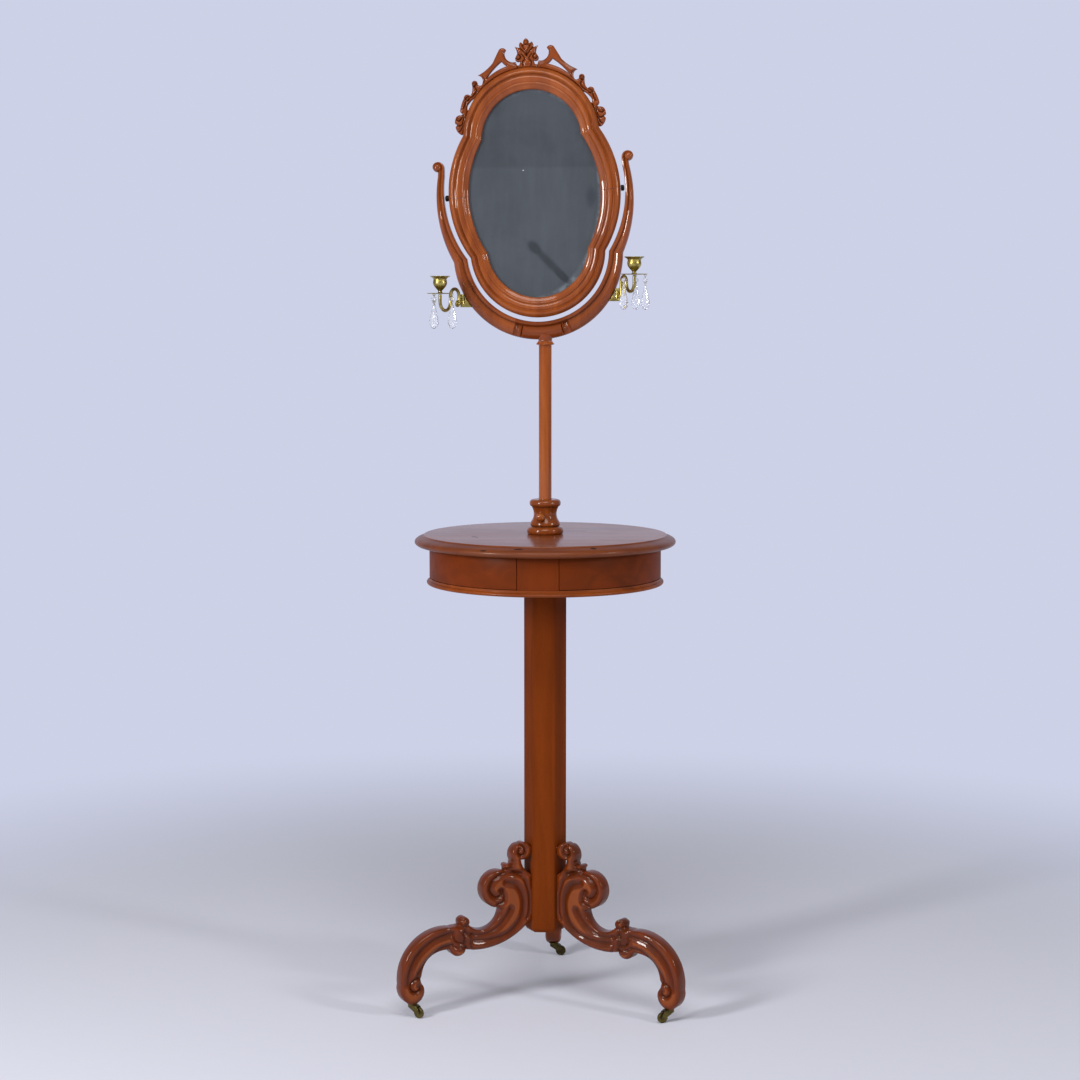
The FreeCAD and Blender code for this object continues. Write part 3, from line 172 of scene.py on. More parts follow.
def inside(points, loops):
    """Which points lie inside the outlines, holes left out."""
    found = np.zeros(len(points), bool)
    for loop in loops:
        a, b = loop, np.roll(loop, -1, axis=0)
        for k in range(0, len(points), 4000):
            x, z = points[k:k + 4000, 0:1], points[k:k + 4000, 1:2]
            straddle = (a[:, 1] > z) != (b[:, 1] > z)
            rise = np.where(b[:, 1] == a[:, 1], 1e-12, b[:, 1] - a[:, 1])
            crossing = (b[:, 0] - a[:, 0]) * (z - a[:, 1]) / rise + a[:, 0]
            found[k:k + 4000] ^= (straddle & (x < crossing)).sum(1) % 2 == 1
    return found


def cut(distance, width):
    """A carved seam: 1 along its bottom, sloping out to 0 at its width."""
    return (1 - np.clip(distance / width, 0, 1)) ** 1.7


def swelling(distance, radius):
    """0 at an edge, rising round to 1 at the radius."""
    share = np.clip(distance / radius, 0, 1)
    return np.sqrt(1 - (1 - share) ** 2)


def bud(points, centre, radius, height):
    """How far a round bud stands proud at each point."""
    distance = np.linalg.norm(points - np.array(centre), axis=1)
    return height * np.sqrt(np.clip(1 - (distance / radius) ** 2, 0, 1))


# ------------------------------------------------------------------ meshes
class Form:
    """Collects the shells of one piece, in millimetres."""

    def __init__(self):
        self.points, self.faces, self.depths = [], [], []

    def skin(self, rings, loop=False, open_section=False, tint=None, ends=0.0):
        """A skin over rings of points; its two ends are closed unless it is a loop.

        tint is the recess of each point round a ring, ends the recess of the first and last rings."""
        start, n, m = len(self.points), len(rings[0]), len(rings)
        if tint or ends:
            self.depths.extend([0.0] * (start - len(self.depths)))
            for i in range(m):
                edge = ends if i in (0, m - 1) else 0.0
                self.depths.extend(max(edge, t) for t in (tint or [0.0] * n))
        for ring in rings:
            self.points.extend(tuple(p) for p in ring)
        for i in range(m if loop else m - 1):
            a, b = start + i * n, start + ((i + 1) % m) * n
            for j in range(n - 1 if open_section else n):
                k = (j + 1) % n
                self.faces.append((a + j, a + k, b + k, b + j))
        if not loop:
            self.faces.append(tuple(range(start + n - 1, start - 1, -1)))
            self.faces.append(tuple(range(start + (m - 1) * n, start + m * n)))
        return self

    def turn(self, profile, count=72, centre=(0, 0, 0), place=None, closed=True, tint=None):
        """A turned piece: profile is (radius, height); open profiles start and end on the axis."""
        place = place or (lambda x, y, z: (x + centre[0], y + centre[1], z + centre[2]))
        rings = []
        for i in range(count):
            a = 2 * math.pi * i / count
            rings.append([place(r * math.cos(a), r * math.sin(a), h) for r, h in profile])
        return self.skin(rings, loop=True, open_section=not closed, tint=tint)

    def add(self, points, faces, depths=None):
        start = len(self.points)
        if depths is not None:
            self.depths.extend([0.0] * (start - len(self.depths)))
            self.depths.extend(depths)
        self.points.extend(tuple(p) for p in points)
        self.faces.extend(tuple(start + i for i in face) for face in faces)
        return self

    def piece(self, name, crease=38.0, flat=False):
        mesh = bpy.data.meshes.new(name)
        mesh.from_pydata([tuple(c * MM for c in p) for p in self.points], [], self.faces)
        if self.depths:
            self.depths.extend([0.0] * (len(self.points) - len(self.depths)))
            mesh.attributes.new("recess", "FLOAT", "POINT").data.foreach_set("value", self.depths)
        return settle(mesh, name, crease, flat)


def settle(mesh, name, crease=38.0, flat=False):
    """Joins a mesh's doubles, turns its faces outwards and makes it an object at the origin."""
    form = bmesh.new()
    form.from_mesh(mesh)
    bmesh.ops.remove_doubles(form, verts=form.verts, dist=2e-6)
    bmesh.ops.dissolve_degenerate(form, edges=form.edges, dist=1e-7)
    bmesh.ops.recalc_face_normals(form, faces=form.faces)
    form.to_mesh(mesh)
    form.free()
    if flat:
        mesh.shade_flat()
    else:
        mesh.shade_smooth()
        mesh.set_sharp_from_angle(angle=math.radians(crease))
    piece = bpy.data.objects.new(name, mesh)
    bpy.context.scene.collection.objects.link(piece)
    return piece


def creased(piece, rings):
    """Keeps the shading sharp along rings of points, in millimetres, such as mitres."""
    spots = {}
    for i, ring in enumerate(rings):
        for point in ring:
            spots[tuple(round(c * 100) for c in point)] = i
    found = [spots.get(tuple(round(c / MM * 100) for c in v.co), -1) for v in piece.data.vertices]
    for edge in piece.data.edges:
        a, b = edge.vertices
        if found[a] >= 0 and found[a] == found[b]:
            edge.use_edge_sharp = True
    return piece


def merged_copy(node):
    """A copy of a solid's mesh with its doubles joined, as a bmesh."""
    form = bmesh.new()
    form.from_mesh(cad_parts[node].data)
    bmesh.ops.remove_doubles(form, verts=form.verts, dist=2e-6)
    return form


def softened(name, node, width, crease=35.0):
    """A solid with its sharp edges rubbed round."""
    form = merged_copy(node)
    bmesh.ops.dissolve_limit(form, angle_limit=math.radians(0.6), verts=form.verts, edges=form.edges)
    edges = [e for e in form.edges if e.is_manifold and e.calc_face_angle(0) > math.radians(24.0)]
    bmesh.ops.bevel(form, geom=edges, offset=width * MM, segments=2, profile=0.5, affect="EDGES",
                    clamp_overlap=True)
    mesh = bpy.data.meshes.new(name)
    form.to_mesh(mesh)
    form.free()
    return settle(mesh, name, crease)


def coat(piece, finish):
    piece.data.materials.clear()
    piece.data.materials.append(finish)


def fitted(piece, body, slot, finish, *nodes):
    """Gives a piece its finish and hangs it on its body in place of its solids."""
    coat(piece, finish)
    if nodes:
        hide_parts(*nodes)
    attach(piece, body)
    return piece


def plain(node, finish):
    """Finishes a solid that is shown as it is."""
    coat(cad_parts[node], finish)


# ------------------------------------------------------------------ carved boards
WALL_TILT, WALL_DEPTH = 0.03, 0.005


def board_loops(node, across, up, out, level):
    """The outlines of a board's front face, from its side walls: arrays of (across, up).

    Their start, direction and order don't depend on the mesh's, so every run gives the same points."""
    form = merged_copy(node)
    follow = {}
    for face in form.faces:
        depths = [v.co.dot(out) for v in face.verts]
        if abs(face.normal.dot(out)) > WALL_TILT or max(depths) - min(depths) < WALL_DEPTH:
            continue
        for edge in face.edges:
            if all(abs(v.co.dot(out) / MM - level) < 0.02 for v in edge.verts):
                a, b = edge.verts
                follow.setdefault(a, {})[b] = True
                follow.setdefault(b, {})[a] = True
    loops, left = [], dict.fromkeys(follow)
    while left:
        chain, before = [left.popitem()[0]], None
        while True:
            onward = [v for v in follow[chain[-1]] if v is not before and (v in left or v is chain[0])]
            if not onward or (onward[0] is chain[0] and len(onward) == 1):
                break
            step = next(v for v in onward if v is not chain[0])
            before = chain[-1]
            chain.append(step)
            left.pop(step, None)
        if len(chain) > 5:
            loop = np.array([(v.co.dot(across) / MM, v.co.dot(up) / MM) for v in chain])
            if np.sum(loop[:, 0] * np.roll(loop[:, 1], -1) - loop[:, 1] * np.roll(loop[:, 0], -1)) < 0:
                loop = loop[::-1]
            loops.append(np.roll(loop, -int(np.lexsort((loop[:, 1], loop[:, 0]))[0]), axis=0))
    form.free()
    return sorted(loops, key=lambda loop: tuple(loop[0]))


def evened(loop, spacing, corner=33.0):
    """A loop with even spacing, smooth between its corners."""
    before, after = loop - np.roll(loop, 1, axis=0), np.roll(loop, -1, axis=0) - loop
    swing = np.arctan2(after[:, 1], after[:, 0]) - np.arctan2(before[:, 1], before[:, 0])
    turn = np.degrees(np.abs(np.angle(np.exp(1j * swing))))
    corners = np.nonzero(turn > corner)[0]
    if len(corners) == 0:
        corners = np.array([0])
    result = []
    for i, start in enumerate(corners):
        end = corners[(i + 1) % len(corners)]
        count = (end - start) % len(loop) or len(loop)
        run = loop[[(start + k) % len(loop) for k in range(count + 1)]]
        line = flowing(run, 0.25) if len(run) > 2 else run
        result.append(spread(line, lambda length: int(round(length / spacing)) + 1)[:-1])
    return np.vstack(result)


def inset(loop, depth, loops):
    """Points set in from a loop by a depth, left out where the outline is too tight for them."""
    along = np.roll(loop, -1, axis=0) - np.roll(loop, 1, axis=0)
    sideways = np.column_stack([-along[:, 1], along[:, 0]]) / np.maximum(np.linalg.norm(along, axis=1), 1e-9)[:, None]
    spots = loop + sideways * depth
    return np.where(inside(spots, loops)[:, None], spots, loop - sideways * depth)


def board_points(loops, spacing, seams, from_edge):
    """Points over a board: its rim, rows rolled in from it, a grid and the floors of the seams."""
    rim = np.vstack(loops)
    rolled = []
    for depth in (spacing * 0.35, spacing * 1.05):
        spots = np.vstack([inset(loop, depth, loops) for loop in loops])
        rolled.append(spots[inside(spots, loops) & (from_edge(spots) > depth * 0.9)])
    low, high = rim.min(0), rim.max(0)
    rows = []
    for k, z in enumerate(np.arange(low[1], high[1], spacing * 0.87)):
        x = np.arange(low[0] + (k % 2) * spacing / 2, high[0], spacing)
        rows.append(np.column_stack([x, np.full(len(x), z)]))
    grid = np.vstack(rows)
    grid = grid[inside(grid, loops)]
    grid = grid[from_edge(grid) > spacing * 1.6]
    floors = [spread(line, lambda length: int(length / spacing)) for line in seams]
    grid = grid[np.min([gap_to(grid, line) for line in floors], axis=0) > spacing * 0.6]
    spots = np.vstack(floors)
    spots = spots[inside(spots, loops)]
    return np.vstack([rim, *rolled, grid, spots[from_edge(spots) > spacing * 1.6]])


def carved(loops, spacing, relief, seams):
    """Points, faces and recess of a board; relief gives (front, back, recess) for points and their edge distances."""
    loops = [evened(loop, spacing) for loop in loops]
    edges = [np.vstack([loop, loop[:1]]) for loop in loops]

    def from_edge(points):
        return np.min([gap_to(points, edge) for edge in edges], axis=0)

    links, start = [], 0
    for loop in loops:
        links += [(start + i, start + (i + 1) % len(loop)) for i in range(len(loop))]
        start += len(loop)
    points = board_points(loops, spacing, seams, from_edge)
    verts, _, faces, *_ = delaunay_2d_cdt([Vector(p) for p in points], links, [], 0, 1e-6, True)
    points = np.array([tuple(v) for v in verts])
    faces = np.array([tuple(f) for f in faces])
    faces = faces[inside(points[faces].mean(1), loops)]
    front, back, recess = relief(points, from_edge(points))
    count = len(points)
    used = {}
    for a, b, c in faces:
        for pair in ((a, b), (b, c), (c, a)):
            used[tuple(sorted(pair))] = used.get(tuple(sorted(pair)), 0) + 1
    skins = [tuple(f) for f in faces] + [tuple(f[::-1] + count) for f in faces]
    skins += [(a, b, b + count, a + count) for (a, b), n in used.items() if n == 1]
    solid = [(p[0], y, p[1]) for p, y in zip(points, front)] + [(p[0], y, p[1]) for p, y in zip(points, back)]
    return np.array(solid), skins, np.concatenate([recess, recess])


LEG_SEAMS = (
    # line, width, depth
    (((73.0, 170.0), (83.5, 154.2), (101.2, 138.3), (123.3, 130.9), (147.6, 132.8), (160.0, 137.5)), 8.0, 4.4),
    (((81.0, 217.9), (61.8, 210.7), (50.7, 193.5), (47.5, 174.9), (51.4, 154.8), (64.3, 137.0), (86.5, 123.9),
      (118.4, 120.0), (143.0, 122.2)), 8.5, 4.6),
    (((52.0, 229.6), (74.1, 233.6), (93.7, 230.4), (107.9, 220.7), (112.3, 207.8), (107.4, 197.4), (98.7, 192.2),
      (91.8, 195.8), (91.3, 202.6)), 8.0, 6.0),
    (((89.3, 202.6), (84.4, 192.9), (86.4, 183.8), (97.0, 179.6)), 6.0, 5.0),
    (((53.1, 282.0), (46.6, 275.8), (47.4, 266.9), (53.5, 262.5), (58.5, 267.5), (55.0, 273.5)), 5.0, 4.6),
    (((86.0, 243.6), (69.4, 236.4), (49.4, 222.9), (40.5, 203.5), (36.5, 184.7), (37.1, 161.8), (42.0, 150.5)),
     5.0, 3.0),
    (((182.2, 141.0), (203.0, 136.9), (222.1, 130.4), (243.6, 115.2), (257.0, 98.0), (264.4, 78.7), (266.7, 62.0)),
     8.0, 4.4),
    (((184.7, 119.7), (204.0, 117.6), (221.0, 107.5), (235.0, 94.8), (245.6, 81.5), (250.5, 72.5)), 5.5, 3.6),
    (((237.5, 57.8), (242.0, 66.7), (251.7, 68.5), (260.2, 62.1), (262.0, 52.6), (256.3, 46.0), (248.6, 46.4),
      (245.0, 52.0), (248.5, 57.5)), 5.0, 4.6),
    (((180.6, 137.9), (178.5, 127.6), (171.8, 121.6), (162.2, 119.9)), 4.5, 3.0),
    (((182.0, 117.0), (171.8, 113.5), (159.8, 111.8)), 4.5, 3.2),
    (((159.4, 143.7), (161.2, 127.4), (158.3, 109.5)), 4.5, 3.0),
    (((146.6, 134.0), (149.6, 122.5), (146.7, 107.6)), 4.5, 2.6),
    (((176.0, 154.8), (171.7, 149.5), (162.8, 148.3), (154.5, 150.2)), 4.5, 3.6),
    (((168.0, 152.5), (168.6, 159.0), (163.0, 162.8), (157.2, 160.4), (156.8, 155.0), (161.4, 153.6)), 3.4, 3.4),
    (((88.3, 244.5), (80.0, 239.8), (70.0, 243.0)), 4.0, 3.0),
)
LEG_BUDS = (
    # centre, radius, height
    ((250.6, 56.2), 5.0, 3.4), ((160.5, 156.8), 6.0, 3.0), ((80.0, 247.8), 5.4, 2.6), ((52.0, 269.0), 4.2, 3.0),
    ((92.5, 200.0), 5.0, 2.6), ((170.0, 130.5), 7.5, 3.0), ((170.0, 108.0), 7.0, 3.4), ((154.0, 127.0), 6.0, 2.4),
)
LEG_THICKEST, LEG_FLAT = 14.9, 12.4


def leg_relief(points, away):
    """The leg's two carved faces: rolls that swell between the edge and the cut seams."""
    body = 9.2 + 5.6 * swelling(away, 11.5)
    root = np.clip((46.0 - points[:, 0]) / 12.0, 0, 1) * (points[:, 1] < 240)
    body = body * (1 - root) + np.maximum(body, LEG_FLAT) * root
    # painted shade: recess darkens the colour along the edge, in the cut seams and round the knot
    recess = np.clip(1 - away / 3.0, 0, 1) * 0.12
    for line, width, depth in LEG_SEAMS:
        share = cut(gap_to(points, flowing(line)), width * 1.3)
        body -= depth * share
        recess = np.maximum(recess, 0.62 * share ** 1.4)
    for place in LEG_BUDS:
        body += bud(points, *place)
    knot = np.linalg.norm((points - np.array((168.0, 128.0))) / np.array((15.0, 17.0)), axis=1)
    recess = np.maximum(recess, 0.35 * np.clip(1.4 - knot, 0, 1))
    # the crowns get a painted highlight, partly rubbed wear: they are recesses below 0
    recess = np.where(recess < 0.02, -np.clip((body - LEG_FLAT) / 2.8, 0, 1) ** 2, recess)
    body = np.where(points[:, 0] < 33.5, np.maximum(body, LEG_FLAT), body)
    body = np.clip(body, 3.0, LEG_THICKEST)
    return -body, body, recess


CREST_SEAMS = (
    # swan neck: hollow along the band; leaves: veins and curls; drawn on the right, mirrored for the left
    (((20.0, 466.5), (30.0, 471.0), (37.0, 479.5), (39.6, 488.0)), 3.2, 1.2),
    (((44.5, 489.5), (51.0, 479.0), (60.0, 467.0), (72.0, 456.5), (81.0, 452.6)), 4.0, 1.0),
    (((76.0, 450.0), (73.5, 444.5), (75.5, 439.0)), 2.5, 2.0),
    (((86.5, 437.6), (90.5, 441.2), (94.5, 437.8), (92.0, 434.6), (88.8, 437.0)), 2.4, 2.4),
    (((91.0, 434.0), (88.0, 427.0), (93.0, 420.0), (99.0, 416.0)), 3.2, 2.6),
    (((101.5, 418.8), (106.5, 415.8), (104.8, 411.2), (100.8, 414.0)), 2.4, 2.4),
    (((107.5, 415.5), (108.5, 407.0), (112.0, 399.0)), 3.0, 2.4),
    (((113.0, 388.5), (117.0, 381.0), (121.5, 378.5), (124.6, 381.0), (122.0, 384.2)), 2.4, 2.4),
    (((112.0, 385.0), (115.0, 373.0), (120.5, 370.5), (124.0, 372.4)), 2.6, 2.4),
    (((113.5, 371.5), (117.5, 364.0), (121.5, 360.5)), 2.4, 2.2),
)
CREST_BUDS = (
    ((91.2, 438.4), 2.6, 1.6), ((104.6, 414.6), 2.8, 1.8), ((121.8, 381.4), 2.6, 1.8), ((122.5, 368.0), 3.0, 1.4),
    ((115.2, 394.6), 3.2, 1.4), ((76.8, 440.6), 2.4, 1.2), ((117.0, 360.5), 2.8, 1.0),
)
PALMETTE_SEAMS = (
    (((0.0, 480.5), (-4.0, 486.0), (-9.0, 491.5), (-15.0, 495.0)), 2.4, 2.2),
    (((0.0, 480.5), (-1.5, 488.0), (-5.5, 494.5), (-8.5, 501.0)), 2.2, 2.2),
    (((-14.0, 483.0), (-10.5, 480.0), (-11.5, 475.6), (-16.0, 474.6), (-18.4, 478.4)), 2.4, 2.6),
    (((-6.5, 463.0), (-7.5, 470.0), (-3.5, 476.0), (-9.0, 483.0)), 2.4, 2.4),
    (((-6.5, 497.0), (0.0, 499.0)), 1.8, 2.0),
    (((-3.2, 499.5), (-2.6, 504.0), (0.0, 507.0)), 1.6, 1.6),
)
PALMETTE_BUDS = (
    ((-15.4, 478.6), 3.8, 2.2), ((0.0, 489.0), 5.2, 2.6), ((0.0, 502.5), 3.0, 2.0), ((-7.0, 499.0), 2.6, 1.4),
    ((0.0, 470.0), 4.6, 2.0), ((-11.0, 489.0), 3.2, 1.2),
)
CREST_BOARDS = {
    "crest_scroll_right": (1, CREST_SEAMS, CREST_BUDS),
    "crest_scroll_left": (-1, CREST_SEAMS, CREST_BUDS),
    "crest_palmette": (0, PALMETTE_SEAMS, PALMETTE_BUDS),
}


def crest_relief(hand, seams, buds):
    """The relief of a crest board; hand is its side, or 0 for a board that carries both sides."""
    def turned_out(point, side):
        x, _, z = in_head(point[0] * side, 0, point[1])
        return (x, z)

    sides = (1, -1) if hand == 0 else (hand,)
    lines = [(flowing([turned_out(p, side) for p in line], 0.5), width, depth)
             for line, width, depth in seams for side in sides]
    spots = [(turned_out(centre, side), radius, height)
             for centre, radius, height in buds for side in sides if side > 0 or hand or centre[0]]

    def relief(points, away):
        front = 1.2 + 3.6 * swelling(away, 4.0)
        # painted shade: recess darkens the colour along the edge and in the cut seams
        recess = np.clip(1 - away / 1.6, 0, 1) * 0.35
        for line, width, depth in lines:
            share = cut(gap_to(points, line), width)
            front -= depth * share
            recess = np.maximum(recess, share * min(depth / 2.2, 1.0) ** 2)
        for spot in spots:
            front += bud(points, *spot)
        front = np.clip(front, -1.0, 6.6)
        back = 5.4 + 1.4 * swelling(away, 1.6)
        return -front, back, recess
    return relief, [line for line, _, _ in lines]


# ------------------------------------------------------------------ nodes
class Nodes:
    """Makes a tree's nodes: their settings first, then the values or links of their sockets."""

    def __init__(self, tree):
        self.tree = tree

    def feed(self, slot, value):
        if isinstance(value, Field):
            value = value.socket
        if isinstance(value, bpy.types.NodeSocket):
            self.tree.links.new(value, slot)
            return
        if isinstance(value, (tuple, list)) and len(value) == 3 and slot.type == "RGBA":
            value = (*value, 1.0)
        slot.default_value = value

    def node(self, kind, settings=None, **values):
        made = self.tree.nodes.new(kind)
        for key, value in (settings or {}).items():
            setattr(made, key, value)
        for key, value in values.items():
            self.feed(made.inputs[key.replace("_", " ")], value)
        return made

    def in_order(self, kind, settings, *values):
        """The result of a node whose sockets are fed in their order."""
        made = self.node(kind, settings)
        for slot, value in zip(made.inputs, values):
            self.feed(slot, value)
        return made.outputs[0]

    def maths(self, operation, *values):
        return self.in_order("ShaderNodeMath", {"operation": operation}, *values)

    def rising(self, value, low, high):
        """The share of a value between two others, eased and held from 0 to 1."""
        return self.node("ShaderNodeMapRange", {"interpolation_type": "SMOOTHSTEP"},
                         Value=value, From_Min=low, From_Max=high).outputs[0]


# ------------------------------------------------------------------ node trees for what follows a path
def path_object(name, runs, closed=False):
    """A curve of straight-linked points, in metres at the origin; points may carry a radius."""
    curve = bpy.data.curves.new(name, "CURVE")
    curve.dimensions = "3D"
    for run in runs:
        spline = curve.splines.new("POLY")
        spline.points.add(len(run) - 1)
        for spot, point in zip(spline.points, run):
            spot.co = (point[0] * MM, point[1] * MM, point[2] * MM, 1.0)
            spot.radius = point[3] if len(point) > 3 else 1.0
        spline.use_cyclic_u = closed
    piece = bpy.data.objects.new(name, curve)
    bpy.context.scene.collection.objects.link(piece)
    return piece


class PathTree(Nodes):
    """A geometry tree that grows things along a path; its inputs are (name, socket type, default)."""

    def __init__(self, name, *inputs):
        super().__init__(bpy.data.node_groups.new(name, "GeometryNodeTree"))
        new_socket = self.tree.interface.new_socket
        new_socket("Geometry", in_out="OUTPUT", socket_type="NodeSocketGeometry")
        for label, kind, default in (("Geometry", "Geometry", None), *inputs, ("Finish", "Material", None)):
            socket = new_socket(label, in_out="INPUT", socket_type="NodeSocket" + kind)
            if default is not None:
                socket.default_value = default
        self.given = self.tree.nodes.new("NodeGroupInput").outputs
        self.result = self.tree.nodes.new("NodeGroupOutput")

    def circle(self, sides, radius):
        return self.node("GeometryNodeCurvePrimitiveCircle", Resolution=sides, Radius=self.given[radius]).outputs[0]

    def set_along(self, spacing, shape, rotation):
        """Copies of a shape set evenly along the path."""
        line = self.node("GeometryNodeResampleCurve", {"mode": "LENGTH"}, Curve=self.given["Geometry"],
                         Length=self.given[spacing])
        points = self.node("GeometryNodeCurveToPoints", {"mode": "EVALUATED"}, Curve=line.outputs[0])
        row = self.node("GeometryNodeInstanceOnPoints", Points=points.outputs[0], Instance=shape.outputs[0],
                        Rotation=rotation.outputs[0])
        return self.finish(row)

    def finish(self, grown_from):
        real = self.node("GeometryNodeRealizeInstances", Geometry=grown_from.outputs[0])
        coated = self.node("GeometryNodeSetMaterial", Geometry=real.outputs[0], Material=self.given["Finish"])
        self.tree.links.new(coated.outputs[0], self.result.inputs[0])
        return self.tree


def bent_rod_tree():
    """A round rod bent along a path; the path's own radius tapers it."""
    make = PathTree("bent_rod", ("Radius", "Float", 0.003), ("Sides", "Int", 16))
    rod = make.node("GeometryNodeCurveToMesh", Curve=make.given["Geometry"], Fill_Caps=True,
                    Profile_Curve=make.circle(make.given["Sides"], "Radius"),
                    Scale=make.node("GeometryNodeInputRadius").outputs[0])
    return make.finish(rod)


def screw_row_tree():
    """Countersunk screws set evenly along a path, their heads facing the given way."""
    make = PathTree("screw_row", ("Spacing", "Float", 0.05), ("Facing", "Vector", (0, 1, 0)))
    disc = make.node("GeometryNodeMeshCone", {"fill_type": "NGON"}, Vertices=14, Radius_Top=0.0034,
                     Radius_Bottom=0.0042, Depth=0.0007)
    slot = make.node("GeometryNodeMeshCube", Size=(0.0072, 0.0009, 0.0005))
    raised = make.node("GeometryNodeTransform", Geometry=slot.outputs[0], Translation=(0, 0, 0.0006))
    head = make.node("GeometryNodeJoinGeometry")
    for part in (disc, raised):
        make.tree.links.new(part.outputs[0], head.inputs[0])
    ahead = make.node("FunctionNodeAlignEulerToVector", {"axis": "Z"}, Vector=make.given["Facing"])
    spin = make.node("FunctionNodeRandomValue", {"data_type": "FLOAT"}, Seed=7)
    turned = make.node("FunctionNodeRotateEuler", {"rotation_type": "AXIS_ANGLE", "space": "LOCAL"},
                       Rotation=ahead.outputs[0], Axis=(0, 0, 1),
                       Angle=make.maths("MULTIPLY", spin.outputs[1], 3.1))
    return make.set_along("Spacing", head, turned)


def wire_link_tree():
    """Round wire links strung down a path, each a quarter turn from the last."""
    make = PathTree("wire_links", ("Pitch", "Float", 0.0032), ("Link", "Float", 0.0021), ("Wire", "Float", 0.00036))
    link = make.node("GeometryNodeCurveToMesh", Curve=make.circle(16, "Link"), Profile_Curve=make.circle(6, "Wire"))
    index = make.node("GeometryNodeInputIndex")
    turned = make.node("ShaderNodeCombineXYZ", X=math.pi / 2,
                       Z=make.maths("MULTIPLY", index.outputs[0], math.pi / 2))
    return make.set_along("Pitch", link, turned)


def grown(source, tree, name, values):
    """Runs a tree on a path and returns the plain mesh it makes; the path is removed."""
    modifier = source.modifiers.new("grow", "NODES")
    modifier.node_group = tree
    for item in tree.interface.items_tree:
        if item.item_type == "SOCKET" and item.in_out == "INPUT" and item.name in values:
            modifier[item.identifier] = values[item.name]
    bpy.context.view_layer.update()
    graph = bpy.context.evaluated_depsgraph_get()
    mesh = bpy.data.meshes.new_from_object(source.evaluated_get(graph), depsgraph=graph)
    curve = source.data
    bpy.data.objects.remove(source)
    bpy.data.curves.remove(curve)
    mesh.name = name
    return mesh


def form_of(mesh):
    """A form begun with a grown mesh, in metres."""
    form = Form().add([tuple(v.co / MM) for v in mesh.vertices], [tuple(p.vertices) for p in mesh.polygons])
    bpy.data.meshes.remove(mesh)
    return form


# ------------------------------------------------------------------ finishes
class Field:
    """A shader value; arithmetic on it adds the Math nodes."""

    def __init__(self, finish, socket):
        self.finish, self.socket = finish, socket

    def join(self, operation, *values):
        return Field(self.finish, self.finish.maths(operation, *values))

    def __add__(self, other): return self.join("ADD", self, other)
    def __radd__(self, other): return self.join("ADD", other, self)
    def __sub__(self, other): return self.join("SUBTRACT", self, other)
    def __rsub__(self, other): return self.join("SUBTRACT", other, self)
    def __mul__(self, other): return self.join("MULTIPLY", self, other)
    def __rmul__(self, other): return self.join("MULTIPLY", other, self)
    def __truediv__(self, other): return self.join("DIVIDE", self, other)
    def __pow__(self, other): return self.join("POWER", self, other)

    def limit(self, low=0.0, high=1.0):
        return Field(self.finish, self.finish.rising(self, low, high))


class Finish(Nodes):
    """One surface finish, made of nodes."""

    def __init__(self, name):
        self.material = bpy.data.materials.new(name)
        self.material.use_nodes = True
        super().__init__(self.material.node_tree)
        self.tree.nodes.clear()
        self.output = self.tree.nodes.new("ShaderNodeOutputMaterial")
        self.place = self.node("ShaderNodeTexCoord").outputs["Object"]

    def spot(self, stretch=(1, 1, 1), shift=(0, 0, 0), turn=(0, 0, 0)):
        """The object's own coordinates in metres, stretched per axis."""
        return self.node("ShaderNodeMapping", Vector=self.place, Scale=stretch, Location=shift,
                         Rotation=turn).outputs[0]

    def noise(self, scale, detail=3.0, rough=0.55, stretch=(1, 1, 1), shift=(0, 0, 0), warp=0.0):
        made = self.node("ShaderNodeTexNoise", Vector=self.spot(stretch, shift), Scale=scale, Detail=detail,
                         Roughness=rough, Distortion=warp)
        return Field(self, made.outputs[0])

    def axis(self, name, place=None):
        """One coordinate, in metres, of a mapped place or of the object's own."""
        return Field(self, self.node("ShaderNodeSeparateXYZ", Vector=place or self.place).outputs[name])

    def attribute(self, name):
        return Field(self, self.node("ShaderNodeAttribute", {"attribute_name": name}).outputs["Fac"])

    def near(self, centre, size, feather=0.35):
        """1 inside an ellipsoid round a point in metres, fading to 0 at its edge."""
        stretch = tuple(1.0 / s for s in size)
        shift = tuple(-c / s for c, s in zip(centre, size))
        away = self.node("ShaderNodeVectorMath", {"operation": "LENGTH"})
        self.feed(away.inputs[0], self.spot(stretch, shift))
        return 1.0 - Field(self, away.outputs["Value"]).limit(1.0 - feather, 1.0)

    def mix(self, share, first, second):
        made = self.node("ShaderNodeMix", {"data_type": "RGBA"})
        for slot, value in ((0, share), (6, first), (7, second)):
            self.feed(made.inputs[slot], value)
        return made.outputs[2]

    def bump(self, height, strength=0.3, depth=0.0005):
        return self.node("ShaderNodeBump", Height=height, Strength=strength, Distance=depth).outputs[0]

    def surface(self, **values):
        """Gives the finish its shader and returns the material."""
        shader = self.node("ShaderNodeBsdfPrincipled", None, **values)
        self.tree.links.new(shader.outputs[0], self.output.inputs[0])
        return self.material


def linear(red, green, blue):
    """A colour given as 0 to 255 on a screen, as shader light."""
    return tuple((c / 255 / 12.92) if c <= 10 else ((c / 255 + 0.055) / 1.055) ** 2.4 for c in (red, green, blue))


def scaled(tone, *shares):
    """A colour times one share, or one for each of its channels."""
    return tuple(c * s for c, s in zip(tone, shares * (3 // len(shares))))


FINISHES = {}


def finish_of(name, maker, *values):
    if name not in FINISHES:
        FINISHES[name] = maker(name, *values)
    return FINISHES[name]


